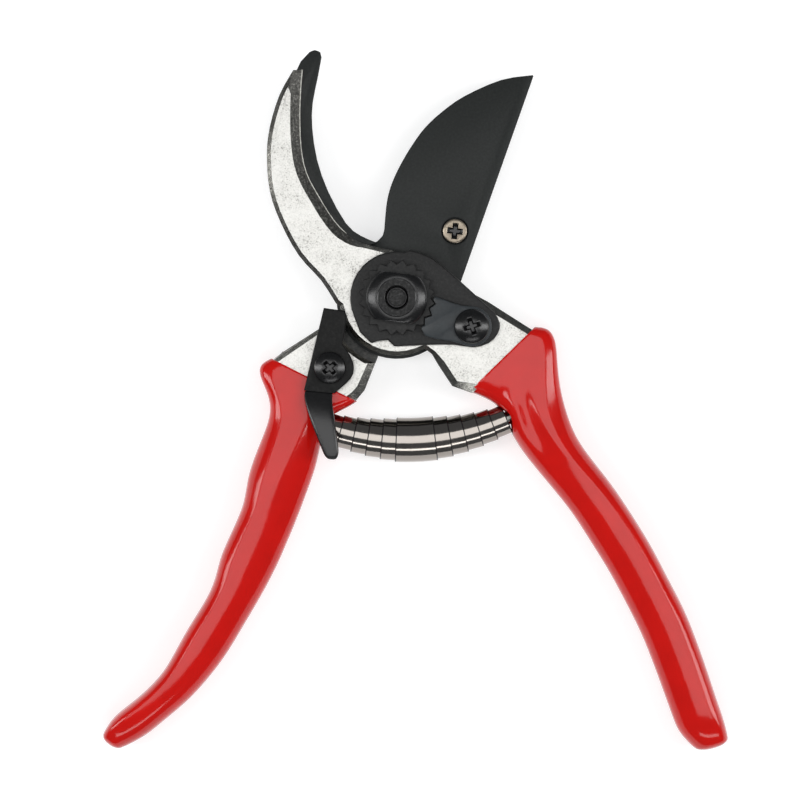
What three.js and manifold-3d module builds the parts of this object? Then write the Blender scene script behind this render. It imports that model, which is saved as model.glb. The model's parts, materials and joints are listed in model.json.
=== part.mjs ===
// Bypass pruning shears, lying open on a table.
//
// Millimetres. X runs across the shears, Y from the grips up to the jaws, Z up from the table.
// The pivot axis stands on the origin, and z = 0 is the plane that the shears rest on.
// The front of the shears faces +Z. The hook jaw, its head and the right handle are the front
// forging. The cutting blade, its head and the left handle are the rear one.

import * as THREE from 'three';
import { mergeVertices } from 'three/addons/utils/BufferGeometryUtils.js';
import Module from 'manifold-3d';

const wasm = await Module();
wasm.setup();

// ---------------------------------------------------------------------------------------------
// Driving dimensions
// ---------------------------------------------------------------------------------------------

// Reaches from the pivot. The outlines below are drawn at these sizes.
const drawn = { bladeReach: 70.6, hookReach: 70.5, handleReach: 121 };
const bladeReach = 70.6; // pivot to the tip of the cutting blade
const hookReach = 70.5; // pivot to the tip of the counter blade
const handleReach = 121; // pivot down to the ends of the grips

// Thicknesses of the layers, from the table up
const boltHeadThickness = 1.5;
const rearHeadThickness = 3.2;
const bladeThickness = 2.7;
const frontHeadThickness = 4.2;
const counterBladeThickness = 2;
const lockPlateThickness = 1.8;
const toothedThickness = 1.4;
const latchThickness = 2;
const layerGap = 0.3; // between any two layers

// The pivot
const boltHeadRadius = 6.5;
const shoulderRadius = 4.3;
const threadRadius = 2.95;
const bushingWall = 0.6;
const fitGap = 0.3; // between a pin and its hole, or two pieces that sit together
const nutAcrossFlats = 13;
const nutRadius = 8.25;
const nutHeight = 3.5; // above its toothed flange
const nutStraightHeight = 1.8; // above its toothed flange, where its sides start to taper
const nutTopRadius = 5.1;
const nutTilt = -8.7; // degrees, how far the flats are turned
const boltEndBelowNut = 0.9;
const boltHeadChamfer = 0.4;
const boltEndChamfer = 0.3;
const flangeTeeth = 20;
const flangeTipRadius = 10.3;
const flangeRootRadius = 8.95;

// The heads around the pivot
const frontHeadRadius = 15.5;
const bladeButtRadius = 16.3;
const rearHeadRadius = 15.8;
const swingGap = 2.1; // between the blade's butt and the left neck's wall
const neckGap = 0.9; // between the blade's butt and the right neck's step

// Screws
const bladeScrew = { x: 15.7, y: 18.2, headRadius: 3.45, shankRadius: 2 };
const segmentScrew = { x: 20.1, y: -7.7, headRadius: 4.7, shankRadius: 2.4, headHeight: 2.6 };
const latchScrew = { x: -18, y: -18.8, headRadius: 4.25, shankRadius: 2, headHeight: 2.2 };
const threadedScrewBottom = 6; // lower ends of the segment's and the latch's screws
const screwRimHeight = 0.7; // straight side of a domed head, under its dome
const bladeScrewCross = 4.5; // length of the cross in the blade screw
const bladeScrewChamfer = 0.2;
const crossDepth = 1.3;
const crossWidth = 1.3;
const crossTurn = { bladeScrew: -7, segmentScrew: 18, latchScrew: 40 }; // degrees
const rivetRadius = 1.5;
const rivetHeadRadius = 2;
const rivetHeadHeight = 0.7;
const rivetDepth = 3.3;

// The grips
const gripThickness = 15;
const gripFrontBottom = 0.9;
const gripFrontTop = 13.4;
const coatingThickness = 0.9;
const neckBottomGap = 0.9; // how far the necks stay above the grips' front edges

// The volute spring. Its turns are sleeves that slide into each other along one arc.
const springArcRadius = 67;
const springCentre = { x: 2.5, y: 28.8 };
const springHeight = 7.5;
const middleTurn = { radius: 6, length: 10.8, angle: 2.2 };
const turnLength = 6;
const turnWall = 0.3;
const turnGap = 0.1;
const turnsPerSide = 5;
const rightTurnPitch = 4;
const leftTurnPitch = 3.8;
const pegRadius = 1.8;
const pegLength = 4; // inside the spring
const pegRootLength = 6; // inside the forging
const seatRadius = 6;
const seatLength = 8; // along the spring, from its end
const seatFloorGap = 1.6; // the end turns stop short of the seat floors

// Worked out from the sizes above
const boltHead = { bottom: 0, top: boltHeadThickness };
const rearHead = layerAbove(boltHead, rearHeadThickness);
const blade = layerAbove(rearHead, bladeThickness);
const frontHead = layerAbove(blade, frontHeadThickness);
const lockPlate = layerAbove(frontHead, lockPlateThickness);
const toothed = layerAbove(lockPlate, toothedThickness);
const counterBlade = { bottom: frontHead.bottom, top: frontHead.bottom + counterBladeThickness };
const latch = { bottom: gripFrontTop + layerGap, top: gripFrontTop + layerGap + latchThickness };
const nutTop = toothed.top + nutHeight;
const bushingInner = shoulderRadius + fitGap;
const bushingOuter = bushingInner + bushingWall;
const leftWallRadius = bladeButtRadius + swingGap;
const rightStepRadius = bladeButtRadius + neckGap;
const bladeStretch = bladeReach / drawn.bladeReach;
const hookStretch = hookReach / drawn.hookReach;
const handleStretch = handleReach / drawn.handleReach;

function layerAbove(below, thickness) {
  const bottom = below.top + layerGap;
  return { bottom, top: bottom + thickness };
}

// ---------------------------------------------------------------------------------------------
// Outlines: each function returns a list of points, and an outline joins such lists
// ---------------------------------------------------------------------------------------------

const degrees = Math.PI / 180;

// Straight from point to point.
function straight(...corners) {
  return corners.map(([x, y]) => new THREE.Vector2(x, y));
}

// A smooth curve through the points, with a few steps between each two.
function curve(points, stepsPerSpan = 3) {
  const spline = new THREE.SplineCurve(straight(...points));
  return spline.getPoints((points.length - 1) * stepsPerSpan);
}

// A circular arc, angles in degrees, counter-clockwise unless the end is below the start.
function arc(centre, radius, start, end, step = 9) {
  const clockwise = end < start;
  const round = new THREE.EllipseCurve(
    centre.x, centre.y, radius, radius, start * degrees, end * degrees, clockwise);
  return round.getPoints(Math.max(2, Math.round(Math.abs(end - start) / step)));
}

function outline(...stretches) {
  const points = stretches.flat();
  return points.filter((point, i) => point.distanceTo(points[(i + 1) % points.length]) > 0.05);
}

function scaledFrom(points, startY, factor) {
  return points.map(([x, y]) => {
    const past = Math.abs(y) > Math.abs(startY) && Math.sign(y) === Math.sign(startY);
    return [x, past ? startY + (y - startY) * factor : y];
  });
}

// Moves every point of a closed outline outwards, or inwards where the distance is negative.
function grown(points, distance) {
  const turn = THREE.ShapeUtils.area(points) > 0 ? 1 : -1;
  return points.map((point, i) => {
    const before = points[(i + points.length - 1) % points.length];
    const after = points[(i + 1) % points.length];
    const first = point.clone().sub(before).normalize();
    const second = after.clone().sub(point).normalize();
    const along = first.add(second).normalize();
    return new THREE.Vector2(point.x + along.y * turn * distance, point.y - along.x * turn * distance);
  });
}

const pivot = new THREE.Vector2(0, 0);

function circle(centre, radius, step = 12) {
  return outline(arc(centre, radius, 0, 360, step).slice(0, -1));
}

// ---------------------------------------------------------------------------------------------
// Solids
// ---------------------------------------------------------------------------------------------

// A flat plate between two heights, with both of its outer edges bevelled by the same width.
function plate(points, layer, bevel = 0, bevelHeight = bevel) {
  const depth = layer.top - layer.bottom - 2 * bevelHeight;
  const geometry = new THREE.ExtrudeGeometry(new THREE.Shape(points), {
    depth,
    bevelEnabled: bevel > 0,
    bevelSize: bevel,
    bevelOffset: -bevel,
    bevelThickness: bevelHeight,
    bevelSegments: 1,
  });
  geometry.translate(0, 0, layer.bottom + bevelHeight);
  return geometry;
}

function cylinder(centre, radius, bottom, top, sides = 24) {
  const geometry = new THREE.CylinderGeometry(radius, radius, top - bottom, sides);
  geometry.rotateX(Math.PI / 2);
  geometry.translate(centre.x, centre.y, (bottom + top) / 2);
  return geometry;
}

// A turned piece. The profile is a list of [radius, height] that starts and ends on the axis,
// or closes on itself.
function turned(profile, centre = pivot, sides = 24) {
  const geometry = new THREE.LatheGeometry(straight(...profile), sides);
  geometry.rotateX(Math.PI / 2);
  geometry.translate(centre.x, centre.y, 0);
  return geometry;
}

// A closed skin over rings of points that all have the same number of points. Where the ends
// are flat and not convex, triangulate says how the first and the last ring are capped.
function loft(rings, triangulate = fan) {
  const count = rings[0].length;
  const positions = rings.flat().flatMap((point) => [point.x, point.y, point.z]);
  const faces = [];
  for (let ring = 0; ring + 1 < rings.length; ring += 1) {
    for (let i = 0; i < count; i += 1) {
      const next = (i + 1) % count;
      const here = ring * count;
      const there = here + count;
      faces.push(here + i, here + next, there + next, here + i, there + next, there + i);
    }
  }
  const last = (rings.length - 1) * count;
  triangulate(rings[0]).forEach(([a, b, c]) => faces.push(c, b, a));
  triangulate(rings.at(-1)).forEach(([a, b, c]) => faces.push(last + a, last + b, last + c));
  const geometry = new THREE.BufferGeometry();
  geometry.setAttribute('position', new THREE.Float32BufferAttribute(positions, 3));
  geometry.setIndex(faces);
  return geometry;
}

// Triangles from a ring's first point to all the others.
function fan(ring) {
  return ring.slice(2).map((_, i) => [0, i + 1, i + 2]);
}

// Triangles that fill a flat ring of any shape.
function filled(ring) {
  return THREE.ShapeUtils.triangulateShape(ring.map(({ x, y }) => new THREE.Vector2(x, y)), []);
}

function toManifold(geometry) {
  const bare = geometry.clone();
  bare.deleteAttribute('normal');
  bare.deleteAttribute('uv');
  const merged = mergeVertices(bare, 1e-4);
  return new wasm.Manifold(new wasm.Mesh({
    numProp: 3,
    vertProperties: new Float32Array(merged.attributes.position.array),
    triVerts: new Uint32Array(merged.index.array),
  }));
}

function fromManifold(solid) {
  const mesh = solid.getMesh();
  const geometry = new THREE.BufferGeometry();
  geometry.setAttribute('position', new THREE.BufferAttribute(mesh.vertProperties, 3));
  geometry.setIndex(new THREE.BufferAttribute(mesh.triVerts, 1));
  return geometry;
}

function joined(...geometries) {
  return fromManifold(geometries.map(toManifold).reduce((a, b) => a.add(b)));
}

function cut(geometry, ...tools) {
  return fromManifold(tools.map(toManifold).reduce((a, b) => a.subtract(b), toManifold(geometry)));
}

function common(a, b) {
  return fromManifold(toManifold(a).intersect(toManifold(b)));
}

// ---------------------------------------------------------------------------------------------
// Materials and the group
// ---------------------------------------------------------------------------------------------

function finish(color, roughness, metalness) {
  return new THREE.MeshStandardMaterial({ color, roughness, metalness });
}

const materials = {
  forgedAluminium: finish('#d6d6d2', 0.35, 1),
  redDip: finish('#c41a14', 0.15, 0),
  blackCoating: finish('#2f3231', 0.45, 0.2),
  blackPlate: finish('#2b2b2a', 0.6, 0.3),
  blackOxide: finish('#1d1e1f', 0.3, 0.6),
  blueSteel: finish('#353b3f', 0.35, 0.6),
  brightSteel: finish('#b9b0a4', 0.3, 1),
  nickel: finish('#9c9a96', 0.15, 1),
};

const shears = new THREE.Group();

function add(name, geometry, material) {
  const mesh = new THREE.Mesh(geometry, material);
  mesh.name = name;
  shears.add(mesh);
}

// ---------------------------------------------------------------------------------------------
// Grips: a dip coating over a tang. Both are lofted between an outer and an inner edge.
// ---------------------------------------------------------------------------------------------

const gripCurveStart = -45; // the edges stretch with the handles below this height

// Each pair is [outer edge point, inner edge point], from the front edge to the end.
const leftGripEdges = [
  [[-33.4, -16.4], [-11.2, -27.6]],
  [[-36.2, -18], [-13.6, -29.2]],
  [[-36.7, -20.8], [-17, -31]],
  [[-35.2, -24.6], [-19, -33.4]],
  [[-34, -29], [-20.2, -36.4]],
  [[-34.8, -34], [-20.9, -40.4]],
  [[-37.6, -41], [-22.2, -46]],
  [[-40, -48], [-24.3, -52]],
  [[-41.3, -55.5], [-26.9, -59]],
  [[-44.4, -62.8], [-29.8, -66]],
  [[-47.4, -69.6], [-32.9, -73]],
  [[-49.2, -76.4], [-36.8, -80.4]],
  [[-52, -82.2], [-41.4, -88.2]],
  [[-56.2, -88.9], [-45.2, -94.6]],
  [[-59.7, -95.2], [-49.5, -100.7]],
  [[-63.5, -101.5], [-55.8, -107.9]],
  [[-69.8, -107.8], [-62.5, -113.6]],
  [[-76.2, -112.8], [-68.2, -118.2]],
  [[-79.2, -117.4], [-74.4, -121.4]],
];

const rightGripEdges = [
  [[36.9, -8], [19.7, -24.8]],
  [[40.6, -8.6], [22.8, -26]],
  [[42.6, -12], [25.8, -27.6]],
  [[43.2, -17.8], [28.2, -29.6]],
  [[44, -24.2], [29.9, -32]],
  [[45.7, -30.8], [31.4, -37]],
  [[48, -36.6], [35.2, -42.8]],
  [[51.4, -42], [40.6, -49.4]],
  [[58, -50.4], [47.1, -57.4]],
  [[63.8, -59.1], [52.5, -65.8]],
  [[68.7, -67.1], [57.2, -73.3]],
  [[73.3, -76], [61.6, -81.5]],
  [[77.6, -84.3], [65.8, -89.8]],
  [[80.9, -92.6], [69, -97.7]],
  [[83.8, -100.8], [71.7, -105]],
  [[86.1, -107.8], [74.3, -112.2]],
  [[88.3, -114.2], [76.4, -117.2]],
  [[89.4, -118.8], [80.6, -121.6]],
];

const ringPoints = 16;
const gripEndShare = 0.9; // the last tenth of a grip rounds off
const gripRiseShare = 0.35; // the first third rises from the neck to the full thickness
const gripEndFlattening = 0.9; // how much of the thickness the rounded end loses, squared
const gripEndNarrowing = 1.2;
const frontSquareness = 6; // of the section at the front edge, where 2 is round
const fullSquareness = 2.8;
const smallestHalfSize = 0.4; // of a section

// One ring of a grip's section: a rounded box between two edge points, moved inwards by inset.
function gripRing(outer, inner, bottom, top, squareness, inset) {
  const centre = outer.clone().add(inner).multiplyScalar(0.5);
  const across = outer.clone().sub(inner);
  const halfWidth = Math.max(smallestHalfSize, across.length() / 2 - inset);
  const halfHeight = Math.max(smallestHalfSize, (top - bottom) / 2 - inset);
  const middle = (bottom + top) / 2;
  across.normalize();
  const rounding = (value) => Math.sign(value) * Math.abs(value) ** (2 / squareness);
  return Array.from({ length: ringPoints }, (_, i) => {
    const angle = (i / ringPoints) * 2 * Math.PI;
    const side = rounding(Math.cos(angle)) * halfWidth;
    const up = rounding(Math.sin(angle)) * halfHeight;
    return new THREE.Vector3(centre.x + across.x * side, centre.y + across.y * side, middle + up);
  });
}

// A grip, its hollow or its tang. start moves the first ring towards the pivot, and end is the
// share of the length where it stops.
function gripLoft(edges, inset, start = 0, end = 1) {
  const stepsPerSpan = inset > 0 ? 1 : 2;
  const outerPoints = scaledFrom(edges.map((pair) => pair[0]), gripCurveStart, handleStretch);
  const innerPoints = scaledFrom(edges.map((pair) => pair[1]), gripCurveStart, handleStretch);
  const outerEdge = curve(outerPoints, stepsPerSpan);
  const innerEdge = curve(innerPoints, stepsPerSpan);
  const last = outerEdge.length - 1;
  const rings = [];
  for (let i = 0; i <= last * end; i += 1) {
    const share = i / last;
    const rise = Math.min(1, share / gripRiseShare);
    const past = Math.max(0, (share - gripEndShare) / (1 - gripEndShare));
    const endRound = Math.sqrt(1 - gripEndFlattening * past * past);
    const top = gripFrontTop + (gripThickness - gripFrontTop) * rise;
    const bottom = gripFrontBottom * (1 - rise);
    const middle = (top + bottom) / 2;
    const half = ((top - bottom) / 2) * endRound;
    const squareness = frontSquareness + (fullSquareness - frontSquareness) * rise;
    const edgeRound = inset + (1 - endRound) * gripEndNarrowing;
    rings.push(gripRing(outerEdge[i], innerEdge[i], middle - half, middle + half, squareness, edgeRound));
  }
  if (start > 0) {
    const across = outerEdge[0].clone().sub(innerEdge[0]).normalize();
    const forward = new THREE.Vector2(-across.y, across.x);
    if (forward.dot(outerEdge[0]) > 0) forward.negate();
    rings.unshift(rings[0].map((point) => new THREE.Vector3(
      point.x + forward.x * start, point.y + forward.y * start, point.z)));
  }
  return oriented(loft(rings));
}

// Turns a closed skin's faces to point out.
function oriented(geometry) {
  const position = geometry.attributes.position;
  const index = geometry.index.array;
  let volume = 0;
  const [a, b, c] = [new THREE.Vector3(), new THREE.Vector3(), new THREE.Vector3()];
  for (let i = 0; i < index.length; i += 3) {
    a.fromBufferAttribute(position, index[i]);
    b.fromBufferAttribute(position, index[i + 1]);
    c.fromBufferAttribute(position, index[i + 2]);
    volume += a.dot(b.cross(c));
  }
  if (volume < 0) {
    for (let i = 0; i < index.length; i += 3) {
      [index[i], index[i + 1]] = [index[i + 1], index[i]];
    }
  }
  return geometry;
}

const tangInset = coatingThickness + fitGap;
const tangReachIntoNeck = 3;
const hollowReachPastFront = 6;
const tangEndShare = 0.9;
const hollowEndShare = 0.93;

// ---------------------------------------------------------------------------------------------
// Spring arc: places along it, and the pegs and seats at its two ends
// ---------------------------------------------------------------------------------------------

// A point on the arc, with the angle in degrees from straight down, positive to the right.
function onSpringArc(angle) {
  return new THREE.Vector3(
    springCentre.x + springArcRadius * Math.sin(angle * degrees),
    springCentre.y - springArcRadius * Math.cos(angle * degrees),
    springHeight,
  );
}

class SpringPath extends THREE.Curve {
  constructor(start, end) {
    super();
    this.start = start;
    this.end = end;
  }

  getPoint(t, target = new THREE.Vector3()) {
    return target.copy(onSpringArc(this.start + (this.end - this.start) * t));
  }
}

// A round bar or a sleeve along the spring arc.
function alongSpringArc(start, end, radius, bore = 0, steps = 2) {
  const section = new THREE.Shape(circle(pivot, radius, 24));
  if (bore > 0) section.holes.push(new THREE.Path(circle(pivot, bore, 24).reverse()));
  return new THREE.ExtrudeGeometry(section, {
    steps,
    bevelEnabled: false,
    extrudePath: new SpringPath(start, end),
  });
}

const arcDegrees = (length) => length / springArcRadius / degrees;
const rightSpringEnd = middleTurn.angle
  + arcDegrees(middleTurn.length / 2 + turnsPerSide * rightTurnPitch);
const leftSpringEnd = middleTurn.angle
  - arcDegrees(middleTurn.length / 2 + turnsPerSide * leftTurnPitch);
const seatFloor = arcDegrees(seatFloorGap);
const seatMouth = arcDegrees(seatLength);
const pegRoot = arcDegrees(pegRootLength);

const rightPeg = alongSpringArc(
  rightSpringEnd - arcDegrees(pegLength), rightSpringEnd + pegRoot, pegRadius);
const leftPeg = alongSpringArc(
  leftSpringEnd - pegRoot, leftSpringEnd + arcDegrees(pegLength), pegRadius);
const rightSeat = alongSpringArc(
  rightSpringEnd - seatMouth, rightSpringEnd + seatFloor, seatRadius);
const leftSeat = alongSpringArc(
  leftSpringEnd - seatFloor, leftSpringEnd + seatMouth, seatRadius);

// ---------------------------------------------------------------------------------------------
// Holes and screws
// ---------------------------------------------------------------------------------------------

function hole(centre, radius, bottom, top, sides = 24) {
  return cylinder(centre, radius + fitGap, bottom, top, sides);
}

function crossBars(centre, top, length, turn) {
  return [0, 90].map((angle) => {
    const bar = new THREE.BoxGeometry(length, crossWidth, 2 * crossDepth);
    bar.rotateZ((turn + angle) * degrees);
    bar.translate(centre.x, centre.y, top);
    return bar;
  });
}

// A domed screw: shank from shankBottom up, head from headBottom up.
function domedScrew(screw, shankBottom, headBottom, turn) {
  const rimTop = headBottom + screwRimHeight;
  const top = headBottom + screw.headHeight;
  const dome = arc(pivot, 1, 0, 75, 25).map((point) => [
    screw.headRadius * point.x, rimTop + (top - rimTop) * point.y]);
  const profile = [
    [0, shankBottom],
    [screw.shankRadius, shankBottom],
    [screw.shankRadius, headBottom],
    [screw.headRadius, headBottom],
    ...dome,
    [0, top],
  ];
  return cut(turned(profile, screw), ...crossBars(screw, top, screw.headRadius * 1.1, turn));
}

// ---------------------------------------------------------------------------------------------
// Front forging: hook arm, head, right neck and the tang in the right grip
// ---------------------------------------------------------------------------------------------

const frontBevel = 0.9;
const headTopRadius = 12.2; // the head stays under the lock plate's round end
const neckBottom = gripFrontBottom + neckBottomGap;
const hookCurveStart = 20; // the hook stretches above this height

const hookOuterEdge = scaledFrom([
  [-27.9, 61.4], [-31.6, 54.7], [-34.2, 46.1], [-35, 38.5], [-34.2, 28.8],
  [-31.2, 20.2], [-26.4, 11.5], [-20.4, 4.8], [-16.4, -1.4],
], hookCurveStart, hookStretch);
const hookInnerEdge = scaledFrom([
  [0.5, 12.4], [-4.8, 13.6], [-8.7, 14.6], [-12.5, 16.6], [-16.8, 21], [-21, 27.6],
  [-24.3, 34], [-25.7, 41], [-26, 50], [-25.7, 57], [-25.3, 61.6],
], hookCurveStart, hookStretch);
const rightNeckEdge = [[9.5, -15.1], [11.4, -18.3], [15, -23.7], [19.2, -24.5]];
const rightNeckTop = [[36.3, -8.1], [24.6, -1], [12, 5.8]];

const frontOutline = outline(
  curve(hookOuterEdge),
  arc(pivot, frontHeadRadius, 188, 299),
  straight(...rightNeckEdge, ...rightNeckTop),
  arc(pivot, headTopRadius, 34, 82),
  curve(hookInnerEdge),
);
const rightNeckOutline = outline(straight([2, -6], ...rightNeckEdge, ...rightNeckTop));

// The counter blade stands out past the hook's inner edge and carries the hook's tip.
const counterBladeEdge = scaledFrom([
  [-5.4, 15], [-9.8, 16.9], [-13.7, 20.2], [-18.5, 28.8], [-21.5, 37.4], [-22.8, 46],
  [-22.7, 52.6], [-21.3, 59.6], [-20.3, 65],
], hookCurveStart, hookStretch);
const counterBladeTip = scaledFrom([[-20.6, 66.3], [-22.1, 66.9], [-23.6, 66.3]],
  hookCurveStart, hookStretch);
const counterBladeBack = scaledFrom([
  [-25.9, 63.8], [-28.6, 57.6], [-30.6, 49], [-31, 39], [-29.2, 29.5], [-25, 20.8],
  [-18.6, 15.6], [-11.4, 13.2],
], hookCurveStart, hookStretch);
const counterBladeOutline = outline(
  curve(counterBladeEdge, 2),
  curve(counterBladeTip, 2),
  curve(counterBladeBack, 2),
);
const rivetPlaces = scaledFrom([[-21.6, 22.7], [-27.2, 34], [-27.9, 49]],
  hookCurveStart, hookStretch).map(([x, y]) => new THREE.Vector2(x, y));

const counterPocket = {
  bottom: counterBlade.bottom - 1,
  top: counterBlade.top + fitGap,
};

function frontForging() {
  const body = joined(
    plate(frontOutline, frontHead, frontBevel),
    plate(rightNeckOutline, { bottom: neckBottom, top: frontHead.top }, frontBevel),
    gripLoft(rightGripEdges, tangInset, tangReachIntoNeck, tangEndShare),
  );
  return joined(cut(
    body,
    cylinder(pivot, rightStepRadius, neckBottom - 1, frontHead.bottom, 48),
    plate(grown(counterBladeOutline, fitGap), counterPocket),
    hole(pivot, bushingOuter, neckBottom, frontHead.top + 1),
    hole(segmentScrew, segmentScrew.shankRadius, threadedScrewBottom - 0.5, frontHead.top + 1),
    ...rivetPlaces.map((place) => hole(
      place, rivetRadius, counterBlade.bottom - 1, counterBlade.bottom + rivetDepth + fitGap)),
    rightSeat,
  ), rightPeg);
}

add('hook_handle', frontForging(), materials.forgedAluminium);

function grip(edges, seat) {
  const hollow = gripLoft(edges, coatingThickness, hollowReachPastFront, hollowEndShare);
  return cut(gripLoft(edges, 0), hollow, seat);
}

add('hook_grip', grip(rightGripEdges, rightSeat), materials.redDip);

add('counter_blade', cut(
  plate(counterBladeOutline, counterBlade),
  ...rivetPlaces.map((place) => cylinder(
    place, rivetHeadRadius + fitGap, counterBlade.bottom - 1, counterBlade.bottom + 1, 16)),
  ...rivetPlaces.map((place) => hole(
    place, rivetRadius, counterBlade.bottom, counterBlade.top + 1, 16)),
), materials.blackCoating);

rivetPlaces.forEach((place, i) => {
  const back = counterBlade.bottom;
  const front = back + rivetDepth;
  const profile = [
    [0, back],
    [rivetHeadRadius, back],
    [rivetHeadRadius, back + rivetHeadHeight],
    [rivetRadius, back + rivetHeadHeight],
    [rivetRadius, front],
    [0, front],
  ];
  add(`counter_blade_rivet_${i + 1}`, turned(profile, place, 16), materials.brightSteel);
});

// ---------------------------------------------------------------------------------------------
// Rear forging: head behind the blade, left neck and the tang in the left grip
// ---------------------------------------------------------------------------------------------

const tongueRadius = 5.6; // of the rear head's tongue round the blade screw

const leftNeckOutline = outline(straight(
  [-3.2, -10], [-5.3, -16.2], [-7.2, -21], [-8.7, -24.8], [-11, -27.1],
  [-33.1, -16], [-20.7, -8.1], [-12, -4.6],
));
const tongueOutline = outline(
  arc(bladeScrew, tongueRadius, -30, 130, 20),
  straight([2, 13], [14, 2]),
);

function rearForging() {
  const neck = cut(
    plate(leftNeckOutline, { bottom: neckBottom, top: frontHead.top }, frontBevel),
    cylinder(pivot, leftWallRadius, rearHead.top, frontHead.top + 1, 48),
  );
  const body = joined(
    neck,
    cylinder(pivot, rearHeadRadius, rearHead.bottom, rearHead.top, 48),
    plate(tongueOutline, rearHead),
    gripLoft(leftGripEdges, tangInset, tangReachIntoNeck, tangEndShare),
  );
  return joined(cut(
    body,
    hole(pivot, bushingOuter, rearHead.bottom - 1, rearHead.top + 1),
    hole(bladeScrew, bladeScrew.shankRadius, rearHead.bottom - 1, rearHead.top + 1),
    hole(latchScrew, latchScrew.shankRadius, threadedScrewBottom - 0.5, frontHead.top + 1),
    leftSeat,
  ), leftPeg);
}

add('blade_handle', rearForging(), materials.forgedAluminium);
add('blade_grip', grip(leftGripEdges, leftSeat), materials.redDip);

// ---------------------------------------------------------------------------------------------
// Cutting blade: flat in front, ground along its edge at the back
// ---------------------------------------------------------------------------------------------

const bladeCurveStart = 15;
const grindWidth = 5;
const edgeLand = 0.5;
const bladeHeadDepth = 1.6;

const bladeEdge = scaledFrom([
  [36.7, 60.3], [28.2, 59], [18.4, 54.7], [12.2, 50.4], [7.6, 46.1], [4.4, 41.8], [1.7, 37.4],
  [-0.5, 33.1], [-2.1, 28.8], [-2.9, 24.5], [-3.4, 18.6],
], bladeCurveStart, bladeStretch);
const bladeSpine = scaledFrom([[17.2, 4.2], [36.9, 60]], bladeCurveStart, bladeStretch);
const edgePoints = curve(bladeEdge, 3);
const buttArc = arc(pivot, bladeButtRadius, 109, 372, 8);
const bladeRest = outline(straight([-3.8, 17], [-4.6, 16.1]), buttArc, straight(...bladeSpine));
const bladeOutline = [...edgePoints, ...bladeRest];

// The back face's outline: the cutting edge is drawn in by the grind.
function groundOutline() {
  const inwards = grown(bladeOutline, -grindWidth);
  return bladeOutline.map((point, i) => {
    const share = i / (edgePoints.length - 1);
    if (share > 1) return point;
    const fade = Math.min(1, share * 4, (1 - share) * 6);
    return point.clone().lerp(inwards[i], fade);
  });
}

function cuttingBlade() {
  const raise = (points, z) => points.map((point) => new THREE.Vector3(point.x, point.y, z));
  const back = groundOutline();
  const rings = [
    raise(back, blade.bottom),
    raise(bladeOutline, blade.top - edgeLand),
    raise(bladeOutline, blade.top),
  ];
  return cut(
    loft(rings, filled),
    hole(pivot, bushingOuter, blade.bottom - 1, blade.top + 1),
    cylinder(bladeScrew, bladeScrew.headRadius + fitGap, blade.top - bladeHeadDepth, blade.top + 1),
    hole(bladeScrew, bladeScrew.shankRadius, blade.bottom - 1, blade.top + 1),
  );
}

add('cutting_blade', cuttingBlade(), materials.blackCoating);

function bladeScrewSolid() {
  const top = blade.top;
  const headBottom = blade.top - bladeHeadDepth + layerGap;
  const profile = [
    [0, rearHead.bottom + 0.5],
    [bladeScrew.shankRadius, rearHead.bottom + 0.5],
    [bladeScrew.shankRadius, headBottom],
    [bladeScrew.headRadius, headBottom],
    [bladeScrew.headRadius, top - bladeScrewChamfer],
    [bladeScrew.headRadius - bladeScrewChamfer, top],
    [0, top],
  ];
  return cut(
    turned(profile, bladeScrew),
    ...crossBars(bladeScrew, top, bladeScrewCross, crossTurn.bladeScrew),
  );
}

add('blade_screw', bladeScrewSolid(), materials.brightSteel);

// ---------------------------------------------------------------------------------------------
// Pivot: shoulder bolt, bushing, lock plate, toothed nut, segment and its screw
// ---------------------------------------------------------------------------------------------

const boltTop = nutTop - boltEndBelowNut;

add('pivot_bolt', turned([
  [0, 0],
  [boltHeadRadius - boltHeadChamfer, 0],
  [boltHeadRadius, boltHeadChamfer],
  [boltHeadRadius, boltHead.top],
  [shoulderRadius, boltHead.top],
  [shoulderRadius, frontHead.top - 0.1],
  [threadRadius, frontHead.top],
  [threadRadius, boltTop - boltEndChamfer],
  [threadRadius - boltEndChamfer, boltTop],
  [0, boltTop],
]), materials.blackOxide);

add('pivot_bushing', turned([
  [bushingInner, rearHead.bottom],
  [bushingOuter, rearHead.bottom],
  [bushingOuter, frontHead.top],
  [bushingInner, frontHead.top],
  [bushingInner, rearHead.bottom],
]), materials.brightSteel);

const lockRadius = 12.55;
const lockToothRadius = 14; // how far the tooth that the thumb latch catches reaches
const lockToothAngle = 240.5;

const lockPlateOutline = outline(
  curve([[22.9, -0.9], [17.4, 4.2], [9.1, 11], [3.4, 12.9]], 2),
  arc(pivot, lockRadius, 80, 205, 11),
  straight(
    [-9.9, -9.2],
    [lockToothRadius * Math.cos(lockToothAngle * degrees),
      lockToothRadius * Math.sin(lockToothAngle * degrees)],
    [-5, -11.6], [-2.4, -11.3], [-0.7, -13]),
  curve([[0.8, -13], [9.1, -12.6], [15.6, -12.6], [20.5, -13.3], [24.6, -12.2], [27.1, -9.7],
    [27.7, -6.8], [26.2, -3.8]], 2),
);

add('lock_plate', cut(
  plate(lockPlateOutline, lockPlate, 0.3),
  hole(pivot, threadRadius, lockPlate.bottom - 1, lockPlate.top + 1),
  hole(segmentScrew, segmentScrew.shankRadius, lockPlate.bottom - 1, lockPlate.top + 1),
), materials.blackPlate);

// A ring of pointed teeth round the pivot, angles in degrees.
function teeth(tipRadius, rootRadius, pitch, firstTip, count) {
  const points = [];
  for (let i = 0; i < count; i += 1) {
    const tip = (firstTip + i * pitch) * degrees;
    const root = tip + (pitch / 2) * degrees;
    points.push(new THREE.Vector2(tipRadius * Math.cos(tip), tipRadius * Math.sin(tip)));
    points.push(new THREE.Vector2(rootRadius * Math.cos(root), rootRadius * Math.sin(root)));
  }
  return points;
}

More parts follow.
